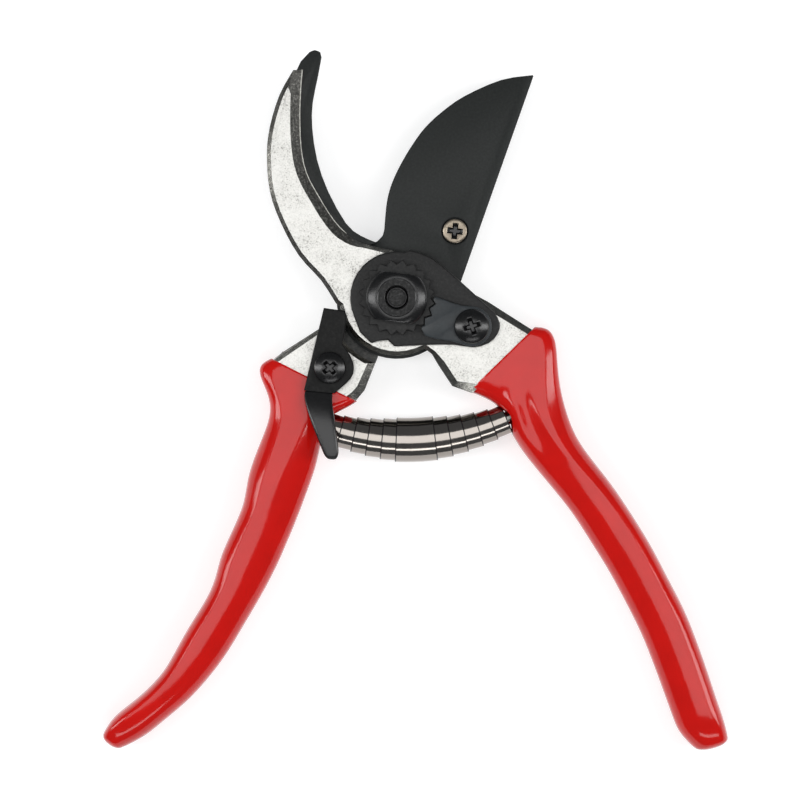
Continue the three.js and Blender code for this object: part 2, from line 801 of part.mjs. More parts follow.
const flangePitch = 360 / flangeTeeth;
const firstFlangeTip = -90 + flangePitch / 2;

function adjustingNut() {
  const flange = plate(
    teeth(flangeTipRadius, flangeRootRadius, flangePitch, firstFlangeTip, flangeTeeth), toothed);
  const body = turned([
    [0, toothed.bottom],
    [nutRadius, toothed.bottom],
    [nutRadius, toothed.top + nutStraightHeight],
    [nutTopRadius, nutTop],
    [0, nutTop],
  ], pivot, 32);
  const flats = new THREE.BoxGeometry(4 * nutRadius, nutAcrossFlats, 2 * nutHeight);
  flats.rotateZ(nutTilt * degrees);
  flats.translate(0, 0, toothed.top + nutHeight);
  const foot = cylinder(pivot, nutRadius, toothed.bottom, toothed.top, 32);
  return cut(
    joined(flange, foot, common(body, flats)),
    hole(pivot, threadRadius, toothed.bottom - 1, nutTop + 1),
  );
}

add('adjusting_nut', adjustingNut(), materials.blackOxide);

const toothGap = 0.35; // between the flange's teeth and the segment's
const segmentRoundRadius = 5.4; // of the segment's round end, about its screw

function toothedSegment() {
  const blank = plate(outline(
    straight([10.2, 0.4], [14.4, -1.2], [17.3, -2.1]),
    arc(segmentScrew, segmentRoundRadius, 90, -120, 18),
    straight([14.4, -11.6], [10.4, -11], [7.6, -10.2], [6.6, -8.4], [8.4, -3]),
  ), toothed);
  const mesh = plate(teeth(
    flangeTipRadius + toothGap, flangeRootRadius + toothGap, flangePitch, firstFlangeTip,
    flangeTeeth), { bottom: toothed.bottom - 1, top: toothed.top + 1 });
  return cut(blank, mesh, hole(segmentScrew, segmentScrew.shankRadius, toothed.bottom - 1,
    toothed.top + 1));
}

add('toothed_segment', toothedSegment(), materials.blueSteel);
add('segment_screw', domedScrew(
  segmentScrew, threadedScrewBottom, toothed.top + layerGap, crossTurn.segmentScrew,
), materials.blackOxide);

// ---------------------------------------------------------------------------------------------
// Thumb latch, with its washer and screw
// ---------------------------------------------------------------------------------------------

const latchOutline = outline(
  straight([-25, -25.2], [-19.6, -2.7], [-14, -3.5], [-13.4, -4.8], [-13.7, -7.6], [-14.6, -12.4]),
  curve([[-13.1, -14.4], [-11.7, -17.4], [-11.7, -20.4], [-13.6, -23], [-17.2, -26]], 2),
);

// The tab: stations of [left point, right point, height of its back face].
const tabStations = [
  [[-23.6, -23.4], [-16.4, -23.6], latch.bottom],
  [[-24.9, -25.6], [-17.2, -26], latch.bottom + 0.6],
  [[-23.9, -30.5], [-16.8, -31], latch.bottom + 1.9],
  [[-21.9, -36], [-16.2, -36.2], latch.bottom + 2.3],
  [[-19.9, -41], [-15.6, -41.2], latch.bottom + 2.3],
  [[-18.7, -43.2], [-16.1, -43.2], latch.bottom + 2.3],
];

function latchTab() {
  const chamfer = 0.4;
  const rings = tabStations.map(([left, right, back]) => {
    const front = back + latchThickness;
    const corners = [[0, back], [1, back], [1, front], [0, front]];
    return corners.flatMap(([side, z], i) => {
      const x = left[0] + (right[0] - left[0]) * side;
      const y = left[1] + (right[1] - left[1]) * side;
      const inwardX = side === 0 ? chamfer : -chamfer;
      const inwardZ = z === back ? chamfer : -chamfer;
      const nearX = new THREE.Vector3(x + inwardX, y, z);
      const nearZ = new THREE.Vector3(x, y, z + inwardZ);
      return i % 2 === 0 ? [nearZ, nearX] : [nearX, nearZ];
    });
  });
  return oriented(loft(rings));
}

add('thumb_latch', cut(
  joined(plate(latchOutline, latch, 0.3), latchTab()),
  hole(latchScrew, latchScrew.shankRadius, latch.bottom - 1, latch.top + 1),
), materials.blackPlate);

const washerRadius = 4.6;

add('latch_washer', turned([
  [latchScrew.shankRadius + fitGap, frontHead.top + fitGap],
  [washerRadius, frontHead.top + fitGap],
  [washerRadius, latch.bottom - fitGap],
  [latchScrew.shankRadius + fitGap, latch.bottom - fitGap],
  [latchScrew.shankRadius + fitGap, frontHead.top + fitGap],
], latchScrew), materials.brightSteel);

add('latch_screw', domedScrew(
  latchScrew, threadedScrewBottom, latch.top + layerGap, crossTurn.latchScrew,
), materials.blackOxide);

// ---------------------------------------------------------------------------------------------
// Volute spring: the middle turn is the widest, and the turns narrow towards both ends
// ---------------------------------------------------------------------------------------------

function springTurn(centreAngle, length, rank) {
  const radius = middleTurn.radius - rank * (turnWall + turnGap);
  const half = arcDegrees(length / 2);
  return alongSpringArc(centreAngle - half, centreAngle + half, radius, radius - turnWall);
}

// Turns are numbered from the left end to the right end.
for (let i = -turnsPerSide; i <= turnsPerSide; i += 1) {
  const rank = Math.abs(i);
  const pitch = i < 0 ? leftTurnPitch : rightTurnPitch;
  const away = rank === 0 ? 0 : middleTurn.length / 2 + rank * pitch - turnLength / 2;
  const centreAngle = middleTurn.angle + Math.sign(i) * arcDegrees(away);
  const name = `spring_turn_${String(i + turnsPerSide + 1).padStart(2, '0')}`;
  add(name, springTurn(centreAngle, rank === 0 ? middleTurn.length : turnLength, rank),
    materials.nickel);
}

export default shears;
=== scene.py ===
# %% [markdown]
# # Bypass pruning shears
# The shears lie open on a white table, seen from straight above.
# The CAD frame gives every piece its place and size, in metres: X runs across, Y from the grips
# up to the jaws and Z up from the table, with the pivot on the origin.
# This lesson builds the surfaces that can be seen: forged aluminium, dipped vinyl grips, coated
# steel blades, oiled black fasteners and a nickel-plated spring.

# %% Load the frame
import json
import math

import bmesh
import bpy
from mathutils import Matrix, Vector


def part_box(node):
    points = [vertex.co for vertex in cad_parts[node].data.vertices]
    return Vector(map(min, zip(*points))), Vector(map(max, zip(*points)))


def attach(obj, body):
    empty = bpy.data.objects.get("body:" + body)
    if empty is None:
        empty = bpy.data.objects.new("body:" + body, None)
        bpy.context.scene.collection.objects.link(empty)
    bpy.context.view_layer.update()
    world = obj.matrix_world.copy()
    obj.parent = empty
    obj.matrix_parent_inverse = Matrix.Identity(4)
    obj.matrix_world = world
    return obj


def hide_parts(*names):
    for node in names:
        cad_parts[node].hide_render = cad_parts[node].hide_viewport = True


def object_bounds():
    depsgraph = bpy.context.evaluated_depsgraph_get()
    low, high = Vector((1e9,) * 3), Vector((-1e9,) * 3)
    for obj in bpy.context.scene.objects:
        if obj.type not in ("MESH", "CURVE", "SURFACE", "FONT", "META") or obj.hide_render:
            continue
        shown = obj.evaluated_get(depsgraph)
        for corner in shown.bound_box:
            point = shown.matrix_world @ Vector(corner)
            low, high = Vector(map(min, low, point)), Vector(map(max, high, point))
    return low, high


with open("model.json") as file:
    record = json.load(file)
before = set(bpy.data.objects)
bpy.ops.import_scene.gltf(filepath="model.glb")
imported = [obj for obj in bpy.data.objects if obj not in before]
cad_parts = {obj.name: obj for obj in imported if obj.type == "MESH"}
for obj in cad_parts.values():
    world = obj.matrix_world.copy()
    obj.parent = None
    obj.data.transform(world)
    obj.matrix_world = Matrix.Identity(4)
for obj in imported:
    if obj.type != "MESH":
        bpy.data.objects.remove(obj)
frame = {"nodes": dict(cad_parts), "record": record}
CAD_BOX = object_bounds()
MM = 0.001
scene = bpy.context.scene

# %% [markdown]
# ## Camera
# A flat tool is shown best from straight above with a long lens, so that its outline keeps its
# true proportions. The frame is a little wider than the open shears,
# and the tool sits slightly right of the middle.

# %% Aim the camera
FRAME_WIDTH = 0.216
LENS = 200
SENSOR = 36
OFF_MIDDLE = Vector((-4.2, -0.2, 0)) * MM
FOCUS_HEIGHT = 8 * MM
low, high = CAD_BOX
middle = (low + high) / 2
camera_data = bpy.data.cameras.new("overhead_camera")
camera_data.lens = LENS
camera_data.sensor_width = SENSOR
camera = bpy.data.objects.new("overhead_camera", camera_data)
scene.collection.objects.link(camera)
distance = FRAME_WIDTH * LENS / SENSOR
camera.location = (middle.x + OFF_MIDDLE.x, middle.y + OFF_MIDDLE.y, FOCUS_HEIGHT + distance)
scene.camera = camera
print("camera height", round(camera.location.z, 3), "m")

# %% [markdown]
# ## Table and light
# The table is a light table: a plain white board that glows a little, so that shadows stay faint.
# One soft light hangs overhead, a strip light stands low on each side, and the room is dim. Faces
# that look straight up mirror the overhead light, sloping ones mirror the dim room or a strip, and
# steep sides mirror the white board. Those bands are what makes metal and vinyl look real.

# %% Lay the table and hang the light
def colour(hex_code):
    """An sRGB hex colour as the linear values that shaders use."""
    values = [int(hex_code[i:i + 2], 16) / 255 for i in (1, 3, 5)]
    return [v / 12.92 if v <= 0.04045 else ((v + 0.055) / 1.055) ** 2.4 for v in values] + [1]


bpy.ops.object.select_all(action="DESELECT")
bpy.ops.mesh.primitive_plane_add(size=6, location=(0, 0, 0))
table = bpy.context.object
table.name = "table_board"


def soft_light(name, width, depth, radiance, place, aim=(0, -0.03, 0)):
    """A rectangular light of the given radiance that looks at the shears."""
    data = bpy.data.lights.new(name, "AREA")
    data.shape = "RECTANGLE"
    data.size = width
    data.size_y = depth
    data.energy = radiance * math.pi * width * depth
    lamp = bpy.data.objects.new(name, data)
    scene.collection.objects.link(lamp)
    lamp.location = place
    lamp.rotation_euler = (Vector(aim) - Vector(place)).to_track_quat("-Z", "Y").to_euler()
    return lamp


soft_light("overhead_softbox", 0.8, 1.0, 2.2, (0, 0, 1.5))
soft_light("left_strip", 0.35, 1.3, 6.5, (-0.98, 0, 0.86))
soft_light("right_strip", 0.35, 1.3, 6.5, (0.98, 0, 0.86))
soft_light("front_strip", 0.9, 0.2, 4.0, (0.1, -1.0, 0.75))
world = bpy.data.worlds.new("dim_room")
world.use_nodes = True
background = world.node_tree.nodes["Background"]
background.inputs["Color"].default_value = colour("#c8ccd0")
background.inputs["Strength"].default_value = 0.25
scene.world = world
scene.view_settings.view_transform = "Standard"

# %% [markdown]
# ## Materials
# Each finish starts from what the real one is: a common material and the way its surface was made.
# One small function adds a node with its settings and links, so each recipe reads as a list.

# %% A helper for nodes, and a plain start for every material
def node(material, kind, settings=None, stops=(), **links):
    """Adds a shader node. Links name an input socket, and give a value or another node's output.

    stops are the (position, hex colour) pairs of a colour ramp.
    """
    made = material.node_tree.nodes.new(kind)
    for key, value in (settings or {}).items():
        setattr(made, key, value)
    for key, value in links.items():
        socket = made.inputs[int(key[1:])] if key[1:].isdigit() else made.inputs[key.replace("_", " ")]
        if isinstance(value, bpy.types.NodeSocket):
            material.node_tree.links.new(value, socket)
        else:
            socket.default_value = value
    if stops:
        elements = made.color_ramp.elements
        while len(elements) < len(stops):
            elements.new(1.0)
        for element, (position, hex_code) in zip(elements, stops):
            element.position = position
            element.color = colour(hex_code)
    return made


def new_material(name, base, **constants):
    """A Principled material with constant values set on the shader's own sockets."""
    material = bpy.data.materials.new(name)
    material.use_nodes = True
    shader = material.node_tree.nodes["Principled BSDF"]
    shader.inputs["Base Color"].default_value = colour(base)
    for key, value in constants.items():
        shader.inputs[key.replace("_", " ")].default_value = value
    return material, shader


def plug(material, output, shader, socket):
    """Links a node's output to one of the shader's sockets."""
    material.node_tree.links.new(output, shader.inputs[socket])


board = new_material("white_board", "#bcbcbc", Roughness=0.9, Emission_Strength=0.62,
                     Emission_Color=colour("#ffffff"))[0]
table.data.materials.append(board)
print("table:", board.name)

# %% [markdown]
# **Shot-blasted aluminium.** The forgings are blasted after forging, which leaves a bright satin
# with pits a few tenths of a millimetre wide, some of them dark with trapped dust.

# %% Shot-blasted aluminium
def blasted_aluminium():
    material, shader = new_material("blasted_aluminium", "#d4d3cf", Metallic=1.0, Roughness=0.4)
    place = node(material, "ShaderNodeTexCoord").outputs["Object"]
    pits = node(material, "ShaderNodeTexNoise", Vector=place, Scale=2600.0, Detail=4.0, Roughness=0.7)
    clouds = node(material, "ShaderNodeTexNoise", Vector=place, Scale=160.0, Detail=3.0, Roughness=0.6)
    mixed = node(material, "ShaderNodeMath", {"operation": "MULTIPLY_ADD"},
                 _0=clouds.outputs["Fac"], _1=0.45, _2=pits.outputs["Fac"])
    tone = node(material, "ShaderNodeValToRGB", Fac=mixed.outputs["Value"],
                stops=[(0.52, "#73726d"), (0.6, "#a8a7a3"), (0.66, "#bfbeba"), (0.85, "#cecdc9")])
    plug(material, tone.outputs["Color"], shader, "Base Color")
    bump = node(material, "ShaderNodeBump", Height=pits.outputs["Fac"], Strength=0.35, Distance=0.0001)
    plug(material, bump.outputs["Normal"], shader, "Normal")
    return material


BLASTED = blasted_aluminium()
print("finish:", BLASTED.name)

# %% [markdown]
# ** Ground aluminium, with painted shade.** The bevels are dressed on a belt, so they are smoother than the
# blasted face. They slope away from the light, and their darker grey is painted shade laid into the
# colour, with a fine grain. Most finishes here have such a grain in both their colour and their
# surface, so one recipe serves them all.

# %% A grained material, and ground aluminium with painted shade
def grained(name, base, stops, grain, bump, **constants):
    """A material whose colour and surface follow one fine noise.

    stops are the colours from the noise's lows to its highs. grain and bump are the settings of
    the noise and of the bump that it makes.
    """
    material, shader = new_material(name, base, **constants)
    place = node(material, "ShaderNodeTexCoord").outputs["Object"]
    noise = node(material, "ShaderNodeTexNoise", Vector=place, **grain).outputs["Fac"]
    tone = node(material, "ShaderNodeValToRGB", stops=stops, Fac=noise)
    plug(material, tone.outputs["Color"], shader, "Base Color")
    surface = node(material, "ShaderNodeBump", Height=noise, **bump)
    plug(material, surface.outputs["Normal"], shader, "Normal")
    return material


# Painted shade: the darker grey of the bevels and sides is in this colour ramp.
GROUND_AND_SHADED = grained("ground_aluminium_and_painted_shade", "#83827d", [(0.3, "#5c5b57"), (0.55, "#8a8984"), (0.8, "#a5a49e")],
                 {"Scale": 700.0, "Detail": 5.0, "Roughness": 0.7},
                 {"Strength": 0.4, "Distance": 0.0002}, Metallic=1.0, Roughness=0.24)
print("finish:", GROUND_AND_SHADED.name)

# %% [markdown]
# ** Painted shade on the hook's inner bevel.** Beside the counter blade the bevel is painted a dull
# dark grey as shade, with lighter grains showing through.

# %% Painted shade on the hook's inner bevel
# Painted shade: a dark grey for the bevel beside the counter blade and for the nose.
SHADED_BEVEL = grained("painted_shade_bevel_aluminium", "#4c4b48",
                      [(0.35, "#2d2d2b"), (0.55, "#4f4e4b"), (0.72, "#8b8a85")],
                      {"Scale": 1500.0, "Detail": 4.0, "Roughness": 0.7},
                      {"Strength": 0.5, "Distance": 0.0001}, Metallic=0.7, Roughness=0.5)
print("finish:", SHADED_BEVEL.name)

# %% [markdown]
# **Dipped vinyl.** The handles are dipped in liquid PVC, which sets as a thick glossy skin. It is
# smooth, with a very slight unevenness left from flowing, a few millimetres from crest to crest.

# %% Dipped vinyl
VINYL = grained("dipped_vinyl", "#bf100b", [(0.3, "#bc100a"), (0.7, "#c4110b")],
                {"Scale": 150.0, "Detail": 2.0}, {"Strength": 0.12, "Distance": 0.0005},
                Roughness=0.12, IOR=1.43)
print("finish:", VINYL.name)

# %% [markdown]
# **Non-stick film.** The blades are sprayed with a black fluoropolymer film, which has a low IOR
# and dries matt, with a fine orange peel under half a millimetre across.

# %% Non-stick film
def sprayed_film(name, base, dark, light, roughness, grain_scale, grain_strength, ior):
    """A dark sprayed or pressed finish with a fine grain in its colour and its surface."""
    return grained(name, base, [(0.3, dark), (0.5, base), (0.75, light)],
                   {"Scale": grain_scale, "Detail": 3.0, "Roughness": 0.6},
                   {"Strength": grain_strength, "Distance": 0.0001}, Roughness=roughness, IOR=ior)


FILM = sprayed_film("nonstick_film", "#181b1a", "#131615", "#1e2120", 0.5, 1500.0, 0.15, 1.35)
print("finish:", FILM.name)

# %% [markdown]
# ** Textured black paint, black oxide and grey phosphate.** The lock plate is pressed steel in a
# rough black paint, and the thumb latch has a flatter one. The nut and screws are blackened and
# oiled, so they are smoother and glossier. The toothed segment is sintered steel with a blue-grey
# phosphate. A dark grey is painted on the forgings beside the blade's butt as the shade in that recess.

# %% The dark fastener and plate finishes
PAINT = sprayed_film("textured_black_paint", "#141414", "#0d0d0d", "#232322", 0.5, 1300.0, 0.7, 1.38)
MATT_PAINT = sprayed_film("matt_black_paint", "#101010", "#0a0a0a", "#1b1b1a", 0.55, 1300.0, 0.5, 1.28)
# Black oxide, also used as painted shadow at the spring's turn ends and as painted shade in the blade
# screw's cross.
OXIDE_AND_SHADE = sprayed_film("oiled_black_oxide_and_painted_shade", "#0b0b0c", "#080809", "#131314", 0.26, 1200.0, 0.2, 1.5)
ROUGH_OXIDE = sprayed_film("rough_black_oxide", "#161616", "#060606", "#3a3a3a", 0.6, 1600.0, 1.0, 1.4)
PHOSPHATE = sprayed_film("grey_phosphate", "#1d2327", "#181e22", "#22292d", 0.4, 900.0, 0.1, 1.45)
# Painted shade: a dark grey for the recess round the blade's butt.
BUTT_SHADE = sprayed_film("painted_shade_aluminium", "#3a3a38", "#1c1c1b", "#55554f", 0.45, 900.0, 0.4, 1.5)
print("dark finishes:", [m.name for m in (PAINT, MATT_PAINT, OXIDE_AND_SHADE, ROUGH_OXIDE, PHOSPHATE, BUTT_SHADE)])

# %% [markdown]
# **Nickel plate and zinc.** The spring strip is plated with bright nickel, almost a mirror with a
# warm tint. The blade's screw and the rivets have a duller zinc plating.

# %% Nickel plate and zinc plate
def plated(name, base, roughness, strength):
    """A plated metal whose haze makes its roughness uneven."""
    material, shader = new_material(name, base, Metallic=1.0, Roughness=roughness)
    place = node(material, "ShaderNodeTexCoord").outputs["Object"]
    haze = node(material, "ShaderNodeTexNoise", Vector=place, Scale=420.0, Detail=3.0, Roughness=0.6)
    uneven = node(material, "ShaderNodeMapRange", Value=haze.outputs["Fac"], From_Min=0.3, From_Max=0.7,
                  To_Min=roughness * 0.75, To_Max=roughness * 1.35)
    plug(material, uneven.outputs["Result"], shader, "Roughness")
    bump = node(material, "ShaderNodeBump", Height=haze.outputs["Fac"], Strength=strength,
                Distance=0.0001)
    plug(material, bump.outputs["Normal"], shader, "Normal")
    return material


NICKEL = plated("bright_nickel", "#96908a", 0.11, 0.08)
ZINC = plated("zinc_plate", "#8f8577", 0.36, 0.5)
print("plated finishes:", NICKEL.name, ZINC.name)

# %% [markdown]
# The CAD nodes that stay, and those that are replaced below, all get the finish of their slot.

# %% Finish the CAD nodes
FINISHES = {
    "forged_aluminium": BLASTED,
    "red_dip": VINYL,
    "black_coating": FILM,
    "black_plate": PAINT,
    "black_oxide": OXIDE_AND_SHADE,
    "blue_steel": PHOSPHATE,
    "bright_steel": ZINC,
    "nickel": NICKEL,
}
SLOT_OF = {s["node"]: s["material_slot"] for s in frame["record"]["subparts"]}
for name, cad in frame["nodes"].items():
    cad.data.materials.clear()
    cad.data.materials.append(FINISHES[SLOT_OF[name]])
print("finishes:", sorted(FINISHES))

# %% [markdown]
# ## Grips
# The vinyl skin follows the tang inside it. Near the neck the tang is flat, so the skin has a flat
# top with creased edges. Further down it is round, with its ridge nearer the outer side.
# It is made as a sweep: one ring of points is extruded from station to station, and at each one
# it is turned and stretched to the grip's width and height. Then the points of every ring are
# settled on the section that the grip has there, and subdivision rounds the whole.

# %% Edit-mode helpers
def only(piece):
    """Makes one object the only selected and active one."""
    if bpy.context.mode != "OBJECT":
        bpy.ops.object.mode_set(mode="OBJECT")
    bpy.ops.object.select_all(action="DESELECT")
    piece.select_set(True)
    bpy.context.view_layer.objects.active = piece


def apply_modifier(piece, kind, **settings):
    """Adds a modifier, sets it and applies it."""
    only(piece)
    modifier = piece.modifiers.new(kind.lower(), kind)
    for key, value in settings.items():
        setattr(modifier, key, value)
    bpy.ops.object.modifier_apply(modifier=modifier.name)


def cut_away(piece, cutters):
    """Takes the cutters out of the piece and deletes them."""
    for cutter in cutters:
        apply_modifier(piece, "BOOLEAN", object=cutter, operation="DIFFERENCE", solver="EXACT")
        bpy.data.objects.remove(cutter)


def break_edges(piece, width, segments=2, angle=40, **settings):
    """Bevels the edges that are sharper than an angle. The width is in millimetres."""
    apply_modifier(piece, "BEVEL", width=width * MM, segments=segments, limit_method="ANGLE",
                   angle_limit=math.radians(angle), **settings)


def settled(name):
    """Names the new primitive and applies its place, so that its object sits at the origin."""
    piece = bpy.context.object
    piece.name = name
    bpy.ops.object.transform_apply()
    return piece


def cylinder(name, radius, height, place, vertices=64):
    """Adds an upright cylinder. Its sizes and its middle are in millimetres."""
    bpy.ops.object.select_all(action="DESELECT")
    bpy.ops.mesh.primitive_cylinder_add(vertices=vertices, radius=radius * MM, depth=height * MM,
                                        location=[value * MM for value in place])
    return settled(name)


def edit_all(piece):
    """Opens a piece in edit mode with all of it selected."""
    only(piece)
    bpy.ops.object.mode_set(mode="EDIT")
    bpy.ops.mesh.select_all(action="SELECT")


def close_up():
    """Turns all the faces of the open piece outwards and leaves edit mode."""
    bpy.ops.mesh.select_all(action="SELECT")
    bpy.ops.mesh.normals_make_consistent(inside=False)
    bpy.ops.object.mode_set(mode="OBJECT")


def paint_faces(piece, *finishes):
    """Gives a piece several finishes. Each is (material, test), and a face takes the first that fits."""
    piece.data.materials.clear()
    for material, _ in finishes:
        piece.data.materials.append(material)
    for face in piece.data.polygons:
        face.material_index = next(k for k, (_, test) in enumerate(finishes) if test(face))


def anywhere(face):
    """The test of a piece's main finish, which comes last."""
    return True


def dress(piece, material, body, slot, *nodes, angle=30):
    """Gives a finished piece its material, smooth shading, its body and the nodes it stands for."""
    only(piece)
    if material is not None:
        paint_faces(piece, (material, anywhere))
    bpy.ops.object.shade_smooth_by_angle(angle=math.radians(angle))
    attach(piece, body)
    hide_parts(*nodes)
    print(piece.name, len(piece.data.polygons), "faces")


def turn_z(angle, centre):
    """Turns the selection about the upright axis, anticlockwise. Without a window the sign flips."""
    bpy.ops.transform.rotate(value=-angle, orient_axis="Z", center_override=centre)


print("helpers:", [helper.__name__ for helper in (only, apply_modifier, cut_away, break_edges, dress)])

# %% [markdown]
# A station is a place along the grip with the ring's centre, turn, half width and half height.
# The rings start low at the neck, rise to the full thickness and round off at the far end.

# %% Sweep a ring along a grip
GRIP_SIDES = 32
GRIP_TOP = 15.0
GRIP_FRONT_TOP = 13.4
GRIP_FRONT_BOTTOM = 0.9
RISE_SHARE = 0.35
END_SHARE = 0.9
END_FLATTENING = 0.55
FRONT_WIDENING = 1.045
FULL_WIDENING = 1.02


def station_between(outer, inner, bottom, top):
    """Centre, turn, half width and half height, in metres, of a ring from edge to edge."""
    (outer_x, outer_y), (inner_x, inner_y) = outer, inner
    centre = Vector(((outer_x + inner_x) / 2, (outer_y + inner_y) / 2, (top + bottom) / 2)) * MM
    half_width = math.hypot(inner_x - outer_x, inner_y - outer_y) / 2 * MM
    turn = math.atan2(inner_y - outer_y, inner_x - outer_x)
    return centre, turn, half_width, (top - bottom) / 2 * MM


def grip_station(edges, index):
    """A grip's station. Subdivision draws a ring in a little, so the rings are made wider."""
    share = index / (len(edges) - 1)
    rise = min(1, share / RISE_SHARE)
    top = GRIP_FRONT_TOP + (GRIP_TOP - GRIP_FRONT_TOP) * rise
    bottom = GRIP_FRONT_BOTTOM * (1 - rise)
    past = max(0, (share - END_SHARE) / (1 - END_SHARE))
    roundness = math.sqrt(1 - END_FLATTENING * past * past)
    widening = FRONT_WIDENING + (FULL_WIDENING - FRONT_WIDENING) * rise
    centre, turn, half_width, half_height = station_between(*edges[index], bottom, top)
    return centre, turn, half_width * widening, half_height * roundness


def place_ring(old, new):
    """Moves the selected ring from one station to the next: square it up, stretch, turn, move."""
    turn_z(-old[1], old[0])
    bpy.ops.transform.resize(value=(new[2] / old[2], 1, new[3] / old[3]), center_override=old[0])
    turn_z(new[1], old[0])
    bpy.ops.transform.translate(value=new[0] - old[0])


def sweep(name, sides, stations, shape=None):
    """Extrudes a ring of points through the stations. shape, if given, changes the first ring."""
    bpy.ops.object.select_all(action="DESELECT")
    bpy.ops.mesh.primitive_circle_add(vertices=sides, radius=MM, rotation=(math.pi / 2, 0, 0))
    piece = settled(name)
    if shape:
        shape(piece)
    edit_all(piece)
    bpy.ops.mesh.select_mode(type="VERT")
    bpy.ops.mesh.select_all(action="SELECT")
    station = (Vector((0, 0, 0)), 0, MM, MM)
    for number, following in enumerate(stations):
        if number > 0:
            bpy.ops.mesh.extrude_region_move()
        place_ring(station, following)
        station = following
    return piece


def sweep_grip(name, edges):
    piece = sweep(name, GRIP_SIDES, [grip_station(edges, index) for index in range(len(edges))])
    bpy.ops.object.mode_set(mode="OBJECT")
    print(name, "stations:", len(edges))
    return piece


# %% [markdown]
# A ring's section is a flat top between two crease lines, with a rounded flank on each side.
# Each flank is a quarter of a superellipse: a power of 2 makes it round and a higher one squarer.
# Towards the end of the grip the flat top narrows to the ridge.

# %% Settle each ring on its section
FLANK_POINTS = 6
TOP_POINTS = GRIP_SIDES // 2 - 2 * FLANK_POINTS


def between(table_rows, position):
    """Reads a table of (station, value, value) rows at a place between its rows."""
    for before, after in zip(table_rows, table_rows[1:]):
        if position <= after[0]:
            share = (position - before[0]) / (after[0] - before[0])
            return [a + (b - a) * share for a, b in zip(before[1:], after[1:])]
    return list(table_rows[-1][1:])


def flank(share, power, cut):
    """A point on a rounded flank, from (0, 0) at the side to (1, 1) at the flat top."""
    angle = share * cut
    across = 1 - math.cos(angle) ** (2 / power)
    up = math.sin(angle) ** (2 / power)
    return across / (1 - math.cos(cut) ** (2 / power)), up / math.sin(cut) ** (2 / power)


def section_point(i, flat_start, flat_end, crease, power):
    """Point i of a ring in half widths across and half heights up, from the outer side over the top."""
    half = GRIP_SIDES // 2
    cut = math.radians(89 - 30 * crease)
    if i <= half:
        if i <= FLANK_POINTS:
            across, up = flank(i / FLANK_POINTS, power, cut)
            return -1 + (flat_start + 1) * across, up
        if i >= half - FLANK_POINTS:
            across, up = flank((half - i) / FLANK_POINTS, power, cut)
            return 1 - (1 - flat_end) * across, up
        share = (i - FLANK_POINTS) / TOP_POINTS
        return flat_start + (flat_end - flat_start) * share, 1
    angle = (i - half) / half * math.pi
    across = math.copysign(abs(math.cos(angle)) ** (2 / power), math.cos(angle))
    return across, -math.sin(angle) ** (2 / power)


def settle_grip(piece, edges, flats, creases, boss=None):
    """flats: rows of (station, start, end) across. creases: rows of (station, strength).

    boss is (station, reach in stations, height in mm): a swelling over the spring's seat.
    """
    vertices = piece.data.vertices
    for index in range(len(edges)):
        centre, turn, half_width, half_height = grip_station(edges, index)
        along = Vector((math.cos(turn), math.sin(turn), 0))
        row = index / 2
        flat_start, flat_end = between(flats, row)
        crease = between(creases, row)[0]
        power = 2.3 + 3.5 * max(0, 1 - row / 6)
        for k in range(index * GRIP_SIDES, (index + 1) * GRIP_SIDES):
            offset = vertices[k].co - centre
            across = offset.dot(along) / half_width
            up = offset.z / half_height
            i = round((math.pi - math.atan2(up, across)) / (2 * math.pi) * GRIP_SIDES) % GRIP_SIDES
            u, v = section_point(i, flat_start, flat_end, crease, power)
            if boss and v > 0:
                near = max(0, 1 - ((row - boss[0]) / boss[1]) ** 2)
                swell = math.exp(-((u - 0.72) / 0.2) ** 2) - 0.55 * math.exp(-((u - 0.28) / 0.16) ** 2)
                v += near * swell * boss[2] * MM / half_height
            vertices[k].co = centre + along * (u * half_width) + Vector((0, 0, v * half_height))


print("points of a section:", FLANK_POINTS, "on each flank and", TOP_POINTS, "on the top")

# %% [markdown]
# Each row below is the outer and the inner edge of a grip, in millimetres from the pivot. A smooth
# curve through the rows adds one more station between each two, which keeps the waves under the
# fingers from being rounded away.

# %% The stations of both grips
LEFT_EDGES = [
    ((-33.4, -16.4), (-11.2, -27.6)), ((-36.2, -18), (-13.6, -29.2)), ((-36.7, -20.8), (-17, -31)),
    ((-35.2, -24.6), (-19, -33.4)), ((-34, -29), (-20.2, -36.4)), ((-34.8, -34), (-20.9, -40.4)),
    ((-37.6, -41), (-22.2, -46)), ((-40, -48), (-24.3, -52)), ((-41.3, -55.5), (-26.9, -59)),
    ((-44.4, -62.8), (-29.8, -66)), ((-47.4, -69.6), (-32.9, -73)), ((-49.2, -76.4), (-36.8, -80.4)),
    ((-52, -82.2), (-41.4, -88.2)), ((-56.2, -88.9), (-45.2, -94.6)), ((-59.7, -95.2), (-49.5, -100.7)),
    ((-63.5, -101.5), (-55.8, -107.9)), ((-69.8, -107.8), (-62.5, -113.6)),
    ((-76.2, -112.8), (-68.2, -118.2)), ((-79.2, -117.4), (-74.4, -121.4)),
]
RIGHT_EDGES = [
    ((36.9, -8), (19.7, -24.8)), ((40.6, -8.6), (22.8, -26)), ((42.6, -12), (25.8, -27.6)),
    ((43.2, -17.8), (28.2, -29.6)), ((44, -24.2), (29.9, -32)), ((45.7, -30.8), (31.4, -37)),
    ((48, -36.6), (35.2, -42.8)), ((51.4, -42), (40.6, -49.4)), ((58, -50.4), (47.1, -57.4)),
    ((63.8, -59.1), (52.5, -65.8)), ((68.7, -67.1), (57.2, -73.3)), ((73.3, -76), (61.6, -81.5)),
    ((77.6, -84.3), (65.8, -89.8)), ((80.9, -92.6), (69, -97.7)), ((83.8, -100.8), (71.7, -105)),
    ((86.1, -107.8), (74.3, -112.2)), ((88.3, -114.2), (76.4, -117.2)), ((89.4, -118.8), (80.6, -121.6)),
]


